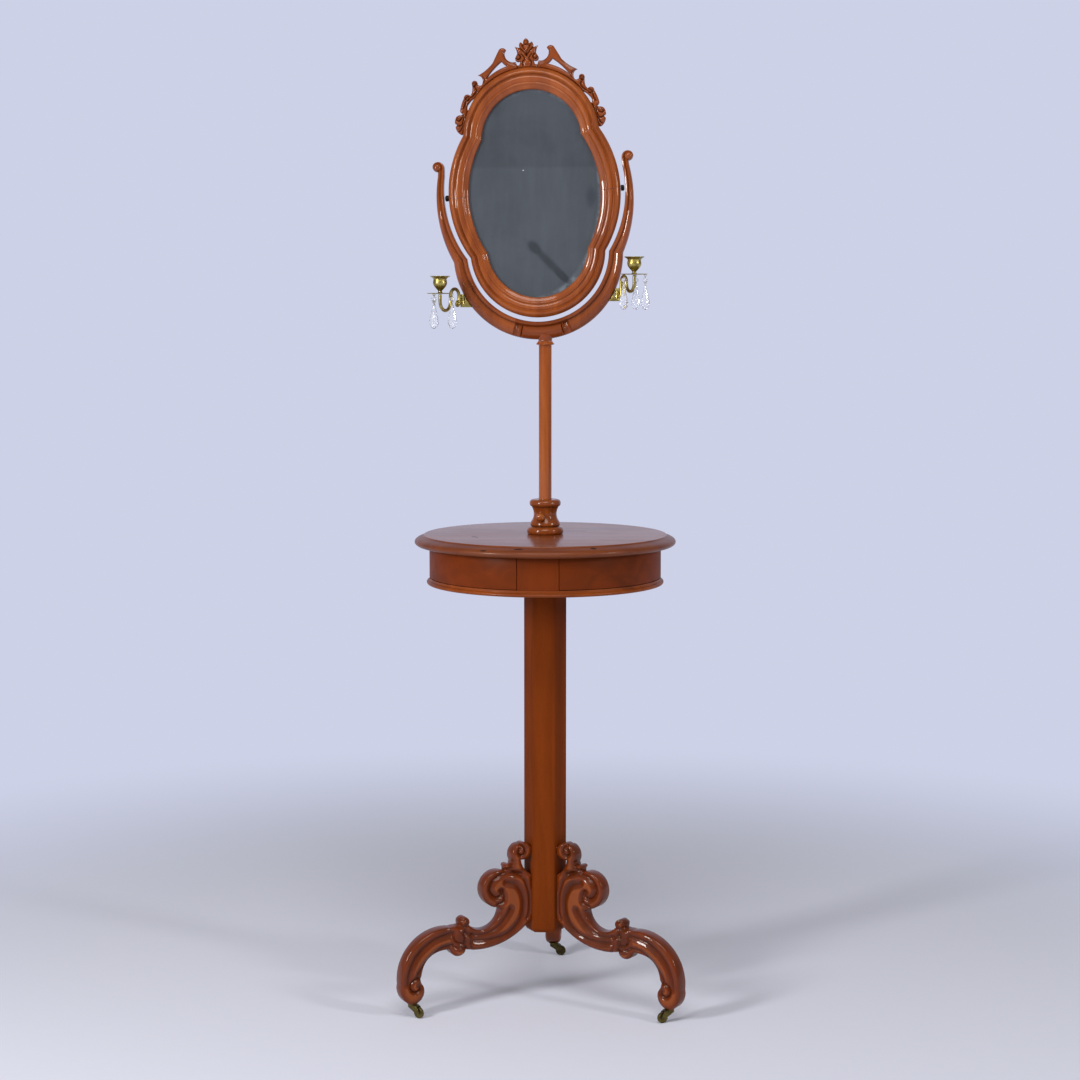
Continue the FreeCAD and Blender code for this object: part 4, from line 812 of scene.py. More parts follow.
def polished_mahogany(name, grain, settings, deeper=0.0, satin=0.0):
    """French-polished mahogany; grain is the axis it runs along, deeper darkens it and satin dulls its gloss."""
    make = Finish(name)
    along = {"X": (1, 14, 14), "Y": (14, 1, 14), "Z": (14, 14, 1)}[grain]
    dull = max(satin, 0.0)
    fine = make.noise(26.0, 4.0, 0.62, along, warp=0.3)
    figure = make.noise(2.4, 3.0, 0.5, along, (0.3, 0.1, 0.7), warp=0.8)
    cloud = make.noise(5.0, 2.0, 0.5, (1, 1, 1), (0.2, 0.5, 0.1))
    pores = make.noise(95.0, 2.0, 0.5, along).limit(0.60, 0.72)
    light = tuple(max(a * (1 - deeper) + b * deeper, b * 0.7)
                  for a, b in zip(settings.polish_tone, settings.deep_tone))
    dark = scaled(settings.deep_tone, 1 - 0.4 * deeper)
    tone = make.mix(figure.limit(0.32, 0.66), dark, light)
    tone = make.mix(fine.limit(0.3, 0.7) * 0.35, tone, scaled(light, 0.74))
    tone = make.mix(cloud.limit(0.35, 0.75) * 0.4, tone, scaled(light, 1.2, 1.16, 1.0))
    tone = make.mix(pores * 0.3, tone, scaled(dark, 0.4))
    recess = make.attribute("recess")
    # painted highlight: where recess is below 0, on the legs' crowns, the colour is lightened, partly standing for
    # rubbed wear
    tone = make.mix((recess * -1.0).limit() * 0.45, tone, scaled(settings.polish_tone, 1.1, 1.0, 0.6))
    # painted shade: recess darkens the colour towards near black in the cut seams, grooves and along edges
    tone = make.mix(recess * settings.carving_painted_shade, tone, linear(34, 11, 6))
    polish = max(0.62 - 1.3 * dull - 0.6 * max(deeper - 0.9, 0.0), 0.02)
    return make.surface(
        Base_Color=tone, Roughness=0.36 + dull * 0.4 + fine * 0.08 + cloud.limit(0.4, 0.7) * 0.06, IOR=1.4,
        Coat_Weight=polish - recess.limit() * polish * 0.5, Coat_Roughness=0.04 + dull * 0.9,
        Specular_IOR_Level=0.14 - satin * (1.2 if satin < 0 else 0.2),
        Normal=make.bump(fine * 0.5 - pores * 0.5, 0.05, 0.0004))


TABLE_KNOCKS = (
    # centre and reach, in metres
    ((-0.031, -0.2125, 0.8165), (0.012, 0.004, 0.003)), ((0.092, -0.195, 0.8168), (0.009, 0.006, 0.003)),
    ((-0.088, -0.203, 0.812), (0.011, 0.005, 0.002)), ((-0.20, -0.085, 0.8175), (0.004, 0.006, 0.002)),
    ((-0.118, -0.06, 0.820), (0.006, 0.008, 0.002)), ((-0.112, -0.067, 0.820), (0.004, 0.006, 0.002)),
)


def table_mahogany(name, settings):
    """The worn table top: satin from use, with a few dark knocks along its edge."""
    make = Finish(name)
    along = (1, 14, 14)
    fine = make.noise(24.0, 4.0, 0.6, along, warp=0.3)
    figure = make.noise(2.0, 3.0, 0.5, along, (0.3, 0.1, 0.7), warp=0.9)
    wear = make.noise(9.0, 4.0, 0.6)
    tone = make.mix(figure.limit(0.36, 0.64), tuple(settings.deep_tone), tuple(settings.polish_tone))
    tone = make.mix(fine.limit(0.3, 0.7) * 0.4, tone, scaled(settings.polish_tone, 0.72))
    tone = make.mix(0.6, tone, linear(100, 46, 20))
    # painted shade: below the flat top, the edge and underside are darkened
    flat = make.axis("Z").limit(0.8180, 0.8200)
    tone = make.mix((1.0 - flat) * 0.4, tone, linear(82, 33, 10))
    knocks = reduce(add, [make.near(centre, size, 0.6) for centre, size in TABLE_KNOCKS])
    ragged = (knocks * (0.5 + wear)).limit(0.35, 0.75)
    tone = make.mix(ragged * 0.85, tone, linear(34, 14, 8))
    return make.surface(
        Base_Color=tone, Roughness=0.40 + wear.limit(0.35, 0.7) * 0.10 + ragged * 0.3, IOR=1.42,
        Coat_Weight=(0.18 + flat * 0.34) - ragged * 0.2, Coat_Roughness=0.16, Specular_IOR_Level=0.3,
        Normal=make.bump(fine * 0.4 - ragged * 3.0, 0.08, 0.0006))


def bare_wood(name):
    """The plain planed wood of hidden boards."""
    make = Finish(name)
    grain = make.noise(20.0, 4.0, 0.6, (14, 14, 1), warp=0.4)
    ray = make.noise(60.0, 2.0, 0.5, (1, 12, 12)).limit(0.55, 0.7)
    tone = make.mix(grain.limit(0.3, 0.7), linear(150, 104, 66), linear(178, 134, 90))
    tone = make.mix(ray * 0.25, tone, linear(112, 72, 44))
    return make.surface(Base_Color=tone, Roughness=0.62 + grain * 0.1, Normal=make.bump(grain, 0.15, 0.0004))


def aged_brass(name, settings, tarnish=0.0):
    """Brass dulled to olive gold; tarnish takes it to the dark brown of castors."""
    make = Finish(name)
    patina = make.noise(70.0, 5.0, 0.65)
    rub = make.noise(22.0, 3.0, 0.5, shift=(0.3, 0.2, 0.9))
    tone = make.mix(patina.limit(0.38, 0.66), tuple(settings.brass_tone), linear(128, 112, 56))
    tone = make.mix(rub.limit(0.5, 0.72) * 0.5, tone, linear(220, 204, 128))
    if tarnish:
        tone = make.mix(tarnish * (0.7 + patina * 0.6), tone, linear(62, 54, 34))
    rough = 0.24 + tarnish * 0.12 + patina * 0.16 + rub.limit(0.3, 0.6) * 0.06
    return make.surface(Base_Color=tone, Metallic=1.0, Roughness=rough, Normal=make.bump(patina, 0.06, 0.0003))


def black_iron(name):
    make = Finish(name)
    rust = make.noise(160.0, 4.0, 0.6)
    tone = make.mix(rust.limit(0.5, 0.75) * 0.6, linear(26, 23, 22), linear(58, 38, 28))
    return make.surface(Base_Color=tone, Metallic=0.7, Roughness=0.42 + rust * 0.25,
                        Normal=make.bump(rust, 0.3, 0.0003))


PAINTED_REFLECTION_PLACE, PAINTED_REFLECTION_TURN = Vector((0.0071, 0.0, 1.2836)), math.radians(45.0)
PAINTED_REFLECTION_BLOTS = ((0.0, 0.056, 0.0105), (0.038, 0.017, 0.0135), (-0.034, 0.024, 0.009))  # offset, length, width


def old_glass(name, settings):
    """Slate-dark old mirror glass: cloudy silvering, a painted reflection of the tripod as dark diagonal blots, a
    lighter painted reflection below a level line, worn edges and one white speck.
    """
    make = Finish(name)
    cloud = make.noise(7.0, 5.0, 0.6, (1, 1, 1), (0.4, 0.0, 0.2), warp=0.6)
    speck = make.noise(60.0, 5.0, 0.7)
    streak = make.noise(9.0, 4.0, 0.6, (6, 1, 1), (0.1, 0.0, 0.6))
    tone = make.mix(cloud.limit(0.32, 0.68), tuple(settings.glass_tone), scaled(settings.glass_tone, 1.4))
    # painted reflection: the glass is lighter below a level line near its top, with streaks of tone mixed in
    low = 1.0 - make.axis("Z").limit(1.440, 1.449)
    tone = make.mix(low * 0.28 + streak.limit(0.4, 0.7) * 0.16, tone, linear(84, 91, 98))
    # painted reflection: dark blots along a diagonal, where the tripod shows in the mirror
    leaning = make.spot(turn=(0, PAINTED_REFLECTION_TURN, 0))
    across, along = make.axis("X", leaning), make.axis("Z", leaning)
    centre = Matrix.Rotation(PAINTED_REFLECTION_TURN, 3, "Y") @ PAINTED_REFLECTION_PLACE
    reflection_blots = []
    for offset, length, width in PAINTED_REFLECTION_BLOTS:
        u, v = (across - centre.x) / width, (along - (centre.z + offset)) / length
        reflection_blots.append(1.0 - ((u * u + v * v) ** 0.5).limit(0.2, 1.1))
    tone = make.mix(reduce(add, reflection_blots).limit(0.0, 1.2) * (0.55 + speck * 0.4), tone, linear(40, 43, 49))
    sound = make.near((-0.0215, 0.0, 1.3982), (0.1146, 4.0, 0.1781), 0.05)
    spared = make.near((-0.1, 0.0, 1.46), (0.13, 1.0, 0.16), 0.5)
    worn = (1.0 - sound) * (1.0 - spared)
    tone = make.mix(worn * (0.15 + speck.limit(0.42, 0.62) * 0.5), tone, linear(128, 138, 146))
    patch = make.near((0.078, 0.0, 1.394), (0.013, 1.0, 0.026), 0.8)
    tone = make.mix(patch * 0.6, tone, linear(46, 50, 58))
    white_speck = make.near((-0.0375, 0.0, 1.4393), (0.0015, 0.05, 0.0011), 0.5)
    tone = make.mix(white_speck, tone, linear(200, 200, 204))
    return make.surface(Base_Color=tone, Metallic=0.0, Roughness=0.16 + cloud * 0.1, IOR=1.5, Coat_Weight=0.35,
                        Coat_Roughness=0.05, Specular_IOR_Level=0.55, Normal=make.bump(cloud, 0.02, 0.0005))


def cut_crystal(name):
    make = Finish(name)
    haze = make.noise(120.0, 2.0)
    tone = make.mix(haze * 0.2, (0.96, 0.97, 0.98), (0.86, 0.88, 0.92))
    return make.surface(Base_Color=tone, Roughness=0.02, IOR=1.52, Transmission_Weight=0.86,
                        Specular_IOR_Level=0.8)


def mahogany(grain="Z", deeper=0.0, satin=0.0):
    settings = bpy.context.scene.stand_finish
    name = "mahogany_%s_%02d_%02d" % (grain.lower(), deeper * 100, (satin + 1) * 100)
    return finish_of(name, polished_mahogany, grain, settings, deeper, satin)


def brass(tarnish=0.0):
    return finish_of("aged_brass_%02d" % (tarnish * 10), aged_brass, bpy.context.scene.stand_finish, tarnish)


# ------------------------------------------------------------------ settings
def colour(name, description, *screen):
    """A colour setting; its default is given as 0 to 255 on a screen."""
    return bpy.props.FloatVectorProperty(name=name, description=description, subtype="COLOR", size=3,
                                         default=linear(*screen), min=0, max=1)


def amount(name, description, default, low, high, **kind):
    return bpy.props.FloatProperty(name=name, description=description, default=default, min=low, max=high, **kind)


FINE_LENGTH = {"unit": "LENGTH", "precision": 4}


class StandFinishSettings(bpy.types.PropertyGroup):
    polish_tone: colour("Polish tone", "Lighter colour of the polished mahogany", 166, 88, 34)
    deep_tone: colour("Deep tone", "Darker figure of the mahogany", 124, 55, 14)
    # painted shade: how far the cut seams, grooves and edges are darkened in the colour
    carving_painted_shade: amount("Painted shade in the carving", "How dark the cut seams are", 0.72, 0, 1, subtype="FACTOR")
    brass_tone: colour("Brass tone", "Colour of the aged brass", 184, 168, 96)
    glass_tone: colour("Glass tone", "Darker cloud of the old mirror glass", 58, 62, 68)


class StandSizeSettings(bpy.types.PropertyGroup):
    leg_grid: amount("Leg carving step", "Distance between the carved points of a leg", 0.0014, 0.0006, 0.01,
                     **FINE_LENGTH)
    crest_grid: amount("Crest carving step", "Distance between the carved points of the crest", 0.0007, 0.0003,
                       0.01, **FINE_LENGTH)
    screw_spacing: amount("Back screw spacing", "Distance between the screws round the back board", 0.085, 0.02,
                          0.3, unit="LENGTH")


class StageSettings(bpy.types.PropertyGroup):
    backdrop: colour("Backdrop", "Colour behind the stand", 205, 209, 231)
    floor: colour("Floor", "Colour of the studio floor", 226, 229, 244)
    softbox_power: amount("Softboxes", "Power of the left front softbox; the right one has less than half of it",
                          66.0, 0, 500, unit="POWER")
    fill: amount("Room light", "Strength of the dim room in front of the stand", 0.22, 0, 2)
    overhead_power: amount("Overhead", "Power of the overhead light", 66.0, 0, 500, unit="POWER")


# ------------------------------------------------------------------ operators
class StandOperator:
    """Shared settings of the stand's operators."""
    bl_options = {"REGISTER", "UNDO"}


class MakeLegs(StandOperator, bpy.types.Operator):
    """Carves the three S-scroll legs"""
    bl_idname = "stand.legs"
    bl_label = "Carved legs"

    def execute(self, context):
        step = context.scene.stand_sizes.leg_grid / MM
        out, sideways = facing(LEG_AZIMUTHS["left"])
        loops = board_loops("leg_left", out, UP, sideways, 15.0)
        if not loops:
            raise RuntimeError("the leg's outline was not found")
        seams = [flowing(line) for line, _, _ in LEG_SEAMS]
        points, faces, recess = carved([max(loops, key=len)], step, leg_relief, seams)
        for side, azimuth in LEG_AZIMUTHS.items():
            out, sideways = facing(azimuth)
            placed = [tuple(out * p[0] + sideways * p[1] + UP * p[2]) for p in points]
            piece = Form().add(placed, faces, recess).piece("carved_leg_" + side, crease=85.0)
            fitted(piece, "stand", "mahogany", mahogany("Z", 1.2), "leg_" + side)
        return {"FINISHED"}


COLUMN_HALF = 32.0


class MakeColumn(StandOperator, bpy.types.Operator):
    """Shapes the six-sided column"""
    bl_idname = "stand.column"
    bl_label = "Column"

    def execute(self, context):
        corner = COLUMN_HALF / math.cos(math.radians(30))
        sections = []
        for height, narrower in ((123.5, 4.6), (124.2, 3.7), (130.0, 0.5), (131.2, 0.0), (735.0, 0.0)):
            hexagon = [polar((0, 0), corner - narrower, 60 * i - 60) for i in range(6)]
            sections.append([(x, y, height) for x, y in eased(hexagon, 1.5, 3)])
        piece = Form().skin(sections).piece("column_shaft", crease=35.0)
        fitted(piece, "stand", "mahogany", mahogany("Z", 1.0, 0.46), "column")
        return {"FINISHED"}


TOP_EDGE = (
    # radius, height, how far the corner is rounded
    (18.0, 801.5, 0), (219.2, 801.5, 1.2), (221.5, 802.6, 2), (224.0, 804.6, 2), (225.0, 806.8, 2),
    (224.9, 808.8, 2), (223.6, 811.2, 2), (221.2, 813.2, 2), (218.0, 814.8, 3), (213.6, 816.4, 3),
    (210.6, 817.6, 1.6), (209.6, 818.4, 0.8), (209.0, 819.5, 0.6), (208.2, 820.0, 0.6), (60.0, 820.0, 0),
    (18.0, 820.0, 0),
)
DRUM_RADIUS, DRUM_FRONT, BLOCK_HALF, DRAWER_GAP = 204.5, 199.5, 34.4, 0.9
FLOOR_EDGE = (
    # radius short of the drum's, height, how far the corner is rounded
    (178.5, 735.0, 0), (3.4, 735.0, 1.5), (1.2, 735.7, 1.5), (0.0, 737.6, 1.5), (0.3, 739.4, 1.5),
    (1.6, 740.9, 1.5), (3.6, 741.7, 1), (4.9, 742.0, 0.3), (5.0, 746.0, 0), (178.5, 746.0, 0),
)


def curved_board(name, inner, outer, low, high, middle, half, wear):
    """A board bent round the table's axis, its edges worn round; middle and half are angles."""
    section = eased([(inner, low), (outer, low), (outer, high), (inner, high)], wear, 2)
    first, last, pull = middle - half, middle + half, wear * 0.6
    step = math.degrees(pull / outer)
    count = max(3, int(abs(last - first) / 2.5))
    marks = [(first, pull), (first + step, 0)]
    marks += [(first + (last - first) * i / count, 0) for i in range(1, count)]
    marks += [(last - step, 0), (last, pull)]
    rings = []
    for angle, drawn in marks:
        ring = []
        for r, z in section:
            r += drawn if r < (inner + outer) / 2 else -drawn
            z += drawn if z < (low + high) / 2 else -drawn
            ring.append((*polar((0, 0), r, angle), z))
        rings.append(ring)
    return Form().skin(rings).piece(name, crease=40.0)


class MakeTable(StandOperator, bpy.types.Operator):
    """Turns the table top and builds the drum with its drawers"""
    bl_idname = "stand.table"
    bl_label = "Drum table"

    def execute(self, context):
        profile = eased([(r, z) for r, z, _ in TOP_EDGE], [ease for _, _, ease in TOP_EDGE], 3)
        piece = Form().turn(profile, 144).piece("table_top_board", crease=40.0)
        settings = context.scene.stand_finish
        fitted(piece, "stand", "mahogany", finish_of("mahogany_table", table_mahogany, settings), "table_top")

        profile = eased([(DRUM_RADIUS - r, z) for r, z, _ in FLOOR_EDGE], [ease for _, _, ease in FLOOR_EDGE], 3)
        piece = Form().turn(profile, 144).piece("drum_floor_board", crease=40.0)
        fitted(piece, "stand", "mahogany", mahogany("X", 0.7, 0.25), "drum_floor")

        half = math.degrees(math.asin(BLOCK_HALF / DRUM_FRONT))
        for side, middle in (("front", -90), ("rear", 90)):
            piece = curved_board(side + "_curved_block", 172.5, 199.4, 746.1, 801.4, middle, half, 0.7)
            fitted(piece, "stand", "mahogany", mahogany("Z", 1.15, 0.3), side + "_block")
        half = 90 - math.degrees(math.asin((BLOCK_HALF + DRAWER_GAP) / DRUM_FRONT))
        bare = finish_of("bare_wood", bare_wood)
        for side, middle in (("left", 180), ("right", 0)):
            drawer = "drawer_" + side
            piece = curved_board("drawer_front_" + side, 187.5, DRUM_FRONT, 746.9, 800.6, middle, half, 0.9)
            fitted(piece, drawer, "mahogany", mahogany("X", 1.15, 0.3), drawer + "_front")
            for node in (drawer + "_back", drawer + "_bottom", "drawer_runner_" + side, "divider_" + side):
                plain(node, bare)
        plain("pole_guide", bare)
        return {"FINISHED"}


POLE = (
    (0, 451.0), (10.2, 451.0), (11.0, 452.0), (11.0, 1143.6), (11.6, 1144.1), (15.2, 1145.0), (15.8, 1145.6),
    (15.6, 1146.3), (13.6, 1148.4), (12.4, 1150.6), (6.0, 1150.7), (6.0, 1171.0), (0, 1171.0),
)
COLLAR = (
    # radius, height over the table
    (11.06, 0.05), (28.6, 0.05), (30.6, 1.4), (31.5, 4.6), (31.3, 7.6), (30.0, 10.4), (27.4, 12.2), (24.6, 12.9),
    (24.1, 13.7), (24.8, 14.5), (25.6, 16.2), (25.6, 18.6), (24.4, 21.4), (22.2, 24.8), (20.4, 28.8),
    (19.75, 33.0), (19.9, 37.6), (20.8, 42.0), (22.3, 45.4), (23.0, 46.8), (23.1, 47.5), (24.6, 48.2),
    (26.3, 49.8), (27.0, 52.6), (26.6, 55.8), (25.0, 58.4), (22.2, 59.7), (19.0, 60.0), (12.4, 60.0),
    (11.06, 59.2),
)
COLLAR_GROOVES = ((13.7, 0.9), (47.2, 0.5))
THUMBSCREW_AZIMUTH, THUMBSCREW_HEIGHT = -13.0, 851.0
THUMBSCREW = (
    # radius, distance from the pole's axis
    (0, 20.6), (2.95, 20.6), (2.95, 22.2), (4.4, 22.6), (6.2, 24.6), (7.15, 27.6), (7.25, 29.6), (6.7, 32.2),
    (5.2, 34.6), (3.4, 35.9), (1.4, 36.4), (0, 36.4),
)


class MakePole(StandOperator, bpy.types.Operator):
    """Turns the sliding pole, its collar and the thumbscrew"""
    bl_idname = "stand.pole"
    bl_label = "Pole and collar"

    def execute(self, context):
        piece = Form().turn(POLE, 56, closed=False).piece("sliding_pole_shaft", crease=30.0)
        fitted(piece, "sliding_pole", "mahogany", mahogany("Z"), "pole")

        profile = [(r, TABLE_TOP + z) for r, z in COLLAR]
        # painted shade in the collar's two grooves
        painted_groove_shade = [0.8 if any(abs(z - at) < reach for at, reach in COLLAR_GROOVES) else 0.0 for _, z in COLLAR]
        piece = Form().turn(profile, 96, tint=painted_groove_shade).piece("collar_turned", crease=45.0)
        fitted(piece, "stand", "mahogany", mahogany("Z", 0.7), "collar")

        ahead, sideways = facing(THUMBSCREW_AZIMUTH)

        def on_collar(x, y, z):
            return tuple(ahead * z + sideways * x + UP * (THUMBSCREW_HEIGHT + y))

        form = Form().turn(eased(THUMBSCREW, 0.8, 2, closed=False), 40, place=on_collar, closed=False)
        piece = form.piece("thumbscrew_knob", crease=45.0)
        fitted(piece, "thumbscrew", "mahogany", mahogany("Y"), "thumbscrew")
        return {"FINISHED"}


YOKE_INNER_CENTRE, YOKE_INNER = (0.0, 154.6), 121.2
YOKE_OUTER_CENTRE, YOKE_OUTER = (0.0, 147.5), 144.6
ARM_INNER = ((121.0, 146.0), (149.6, 213.0), (151.2, 287.0))
ARM_OUTER = ((143.0, 138.5), (166.2, 215.0), (163.2, 287.0))
ARM_START, ARM_MITRE = -69, (-4.07, -3.6)  # angles of the inner and outer edge
SCROLL = (162.3, 303.0)


def yoke_section(width, lift=0.0, thin=0.0):
    """The yoke's moulded section from its inner edge outwards: (share of the way out, y)."""
    bead = min(8.0, width * 0.42)
    rest = width - bead
    section = [(d * bead / 8.0, y) for d, y in (
        (0.2, 4.0), (0.0, -7.0), (0.4, -10.2), (1.5, -12.0), (3.3, -12.5), (5.2, -12.0), (6.6, -10.6), (7.4, -9.0))]
    section += [(bead + rest * s, y) for s, y in (
        (0.02, -8.3), (0.10, -8.6 - lift), (0.24, -9.1 - lift), (0.38, -10.1 - lift), (0.44, -10.5 - lift),
        (0.50, -10.2 - lift), (0.66, -9.0 - lift), (0.82, -7.0 - lift * 0.6), (0.93, -4.6), (0.99, -1.6),
        (1.0, 1.0))]
    section += [(width, 8.0), (width - 1.2, 11.4), (width - 3.6, 12.4), (width * 0.5, 12.5), (3.2, 12.4),
                (1.0, 11.2), (0.2, 8.0)]
    return [(d / width, y * (1 - thin)) for d, y in section]


# painted shade lies in the groove beside the bead
YOKE_GROOVE_SHADE = [0.0] * 7 + [0.6, 0.6, 0.2] + [0.0] * 16


def yoke_ring(inner, outer, side=1, lift=0.0, thin=0.0):
    width = math.dist(inner, outer)
    ring = []
    for share, y in yoke_section(width, lift, thin):
        x = inner[0] + (outer[0] - inner[0]) * share
        z = inner[1] + (outer[1] - inner[1]) * share
        ring.append(in_head(x * side, y, z))
    return ring


def bow_ring(a, b, side, lift=0.0):
    """The section where the yoke is round, from an angle on its inner circle to one on its outer circle."""
    inner, outer = polar(YOKE_INNER_CENTRE, YOKE_INNER, a), polar(YOKE_OUTER_CENTRE, YOKE_OUTER, b)
    return yoke_ring(inner, outer, side, lift)


def scoop_lift(far):
    """How far the yoke's base stands up at an angle from its middle: the block, its step and the scoop beside it."""
    if far < 14.2:
        return 1.6
    if far < 15.0:
        return 1.6 - 3.8 * (far - 14.2) / 0.8
    if far < 16.2:
        return -2.2 + 4.2 * math.sin(math.pi * (far - 15.0) / 1.2)
    return -2.2 - 3.0 * math.sin(math.pi * min((far - 16.2) / 4.8, 1.0)) + 2.2 * (far - 16.2) / 4.8


SCROLL_BALL = (
    # radius, depth towards the front
    (0, 13.4), (2.2, 13.1), (4.2, 12.2), (5.9, 10.7), (7.1, 8.6), (7.7, 6.0), (7.8, 3.0), (7.8, -8.0), (7.0, -10.4),
    (5.2, -11.6), (0, -11.8),
)
YOKE_BOSS = (
    (6.2, 1151.0), (12.0, 1151.0), (11.6, 1152.4), (11.8, 1154.0), (12.6, 1157.0), (12.6, 1163.0), (6.2, 1163.0),
)
PIVOT_PIN = (
    # radius, distance out from the mirror's middle
    (0, 146.6), (2.9, 146.6), (4.9, 146.9), (5.0, 147.4), (5.0, 151.0), (4.4, 151.8), (3.0, 152.2), (3.0, 152.6),
    (0, 152.6),
)


class MakeYoke(StandOperator, bpy.types.Operator):
    """Shapes the moulded U-shaped yoke and its iron pivots"""
    bl_idname = "stand.yoke"
    bl_label = "Yoke"

    def execute(self, context):
        for side, hand in (("left", -1), ("right", 1)):
            rings = []
            for i in range(40):
                a, b = (ARM_START + (end - ARM_START) * (i / 39) for end in ARM_MITRE)
                rings.append(bow_ring(a, b, hand))
            mitre = rings[-1]
            for a, b in list(zip(along_arc(*ARM_INNER, 40), along_arc(*ARM_OUTER, 40)))[1:]:
                rings.append(yoke_ring(a, b, hand))
            # the arm's end turns over the top of its scroll
            rings.append(yoke_ring((151.0, 292.0), (162.7, 291.4), hand))
            rings.append(yoke_ring((150.6, 297.0), (162.0, 297.4), hand, thin=0.03))
            for i in range(18):
                a, share = 184.0 - 11.5 * i, i / 17
                rim = 11.8 - 2.4 * min(share * 2, 1.0) - 1.2 * max(share * 2 - 1, 0.0)
                rings.append(yoke_ring(polar(SCROLL, rim, a), polar(SCROLL, 1.5, a), hand, thin=0.06 + 0.3 * share))

            def on_scroll(x, y, z, hand=hand):
                return in_head(hand * (SCROLL[0] + x), -z, SCROLL[1] + y)

            form = Form().skin(rings, tint=YOKE_GROOVE_SHADE).turn(SCROLL_BALL, 44, place=on_scroll, closed=False)
            piece = creased(form.piece("yoke_arm_moulded_" + side, crease=36.0), [mitre])
            fitted(piece, "yoke", "mahogany", mahogany("Z", 0.65, -0.03), "yoke_arm_" + side)

        rings = []
        for i in range(106):
            angle = -21 + 42 * i / 105
            rings.append(bow_ring(angle - 90, angle - 90, 1, scoop_lift(abs(angle))))
        piece = Form().skin(rings, tint=YOKE_GROOVE_SHADE).turn(YOKE_BOSS, 40).piece("yoke_base_block", crease=33.0)
        fitted(piece, "yoke", "mahogany", mahogany("X", 0.95, 0.02), "yoke_base")

        form = Form()
        for hand in (-1, 1):
            def on_pivot(x, y, z, hand=hand):
                return in_head(hand * z, y, PIVOT_HEIGHT + x)
            form.turn(PIVOT_PIN, 24, place=on_pivot, closed=False)
        piece = form.piece("iron_pivots", crease=30.0)
        fitted(piece, "yoke", "black_iron", finish_of("black_iron", black_iron), "pivots")
        return {"FINISHED"}


FRAME_RUNS = {
    # outer edge and sight edge, each as three points of an arc
    "right": (((114.8, 147.0), (146.2, PIVOT_HEIGHT), (115.3, 354.0)),
              ((85.5, 153.5), (112.0, PIVOT_HEIGHT), (84.5, 344.3))),
    "top": (((115.3, 354.0), (0.0, 460.7), (-115.3, 354.0)), ((84.5, 344.3), (0.0, 423.9), (-84.5, 344.3))),
    "bottom": (((-114.8, 147.0), (0.0, 40.3), (114.8, 147.0)), ((-85.5, 153.5), (0.0, 74.5), (85.5, 153.5))),
}
FRAME_RUNS["left"] = tuple(tuple((-x, z) for x, z in reversed(line)) for line in FRAME_RUNS["right"])
FRAME_HALVES = {
    # run, the shares of it where the half starts and ends, rings
    "upper": (("right", 0.5, 1.0, 34), ("top", 0.0, 1.0, 84), ("left", 0.0, 0.5, 34)),
    "lower": (("left", 0.5, 1.0, 34), ("bottom", 0.0, 1.0, 84), ("right", 0.0, 0.5, 34)),
}
MOULDING = (
    # share of the way out from the sight edge, height towards the front
    (0.000, 1.0), (0.000, 3.4), (0.010, 4.6), (0.030, 5.5), (0.080, 6.5), (0.140, 7.3), (0.185, 7.9), (0.215, 8.5),
    (0.240, 9.5), (0.265, 9.95), (0.290, 10.0), (0.315, 9.6), (0.335, 8.9), (0.350, 8.5), (0.375, 8.5),
    (0.420, 9.1), (0.470, 9.7), (0.520, 10.0), (0.570, 9.8), (0.605, 9.2), (0.630, 8.6), (0.650, 8.4),
    (0.672, 8.9), (0.690, 10.2), (0.705, 11.8), (0.725, 13.1), (0.755, 13.9), (0.790, 14.0), (0.820, 13.7),
    (0.850, 13.1), (0.885, 12.2), (0.925, 10.8), (0.965, 9.0), (0.990, 7.0), (1.000, 4.6), (1.000, -6.0),
    (0.992, -8.6), (0.965, -9.8), (0.930, -10.0), (0.240, -10.0), (0.232, -9.8), (0.230, -9.2), (0.230, -0.1),
    (0.000, -0.1),
)
MOULDING_GROOVES = (0.355, 0.648)
FRAME_SEAM = 0.2


def frame_ring(outer, sight, mark):
    """The moulding's section where a share of a run is done."""
    ox, oz = along_arc(*outer, 2, mark, 1.0)[0]
    sx, sz = along_arc(*sight, 2, mark, 1.0)[0]
    return [in_head(sx + (ox - sx) * u, -height, sz + (oz - sz) * u) for u, height in MOULDING]


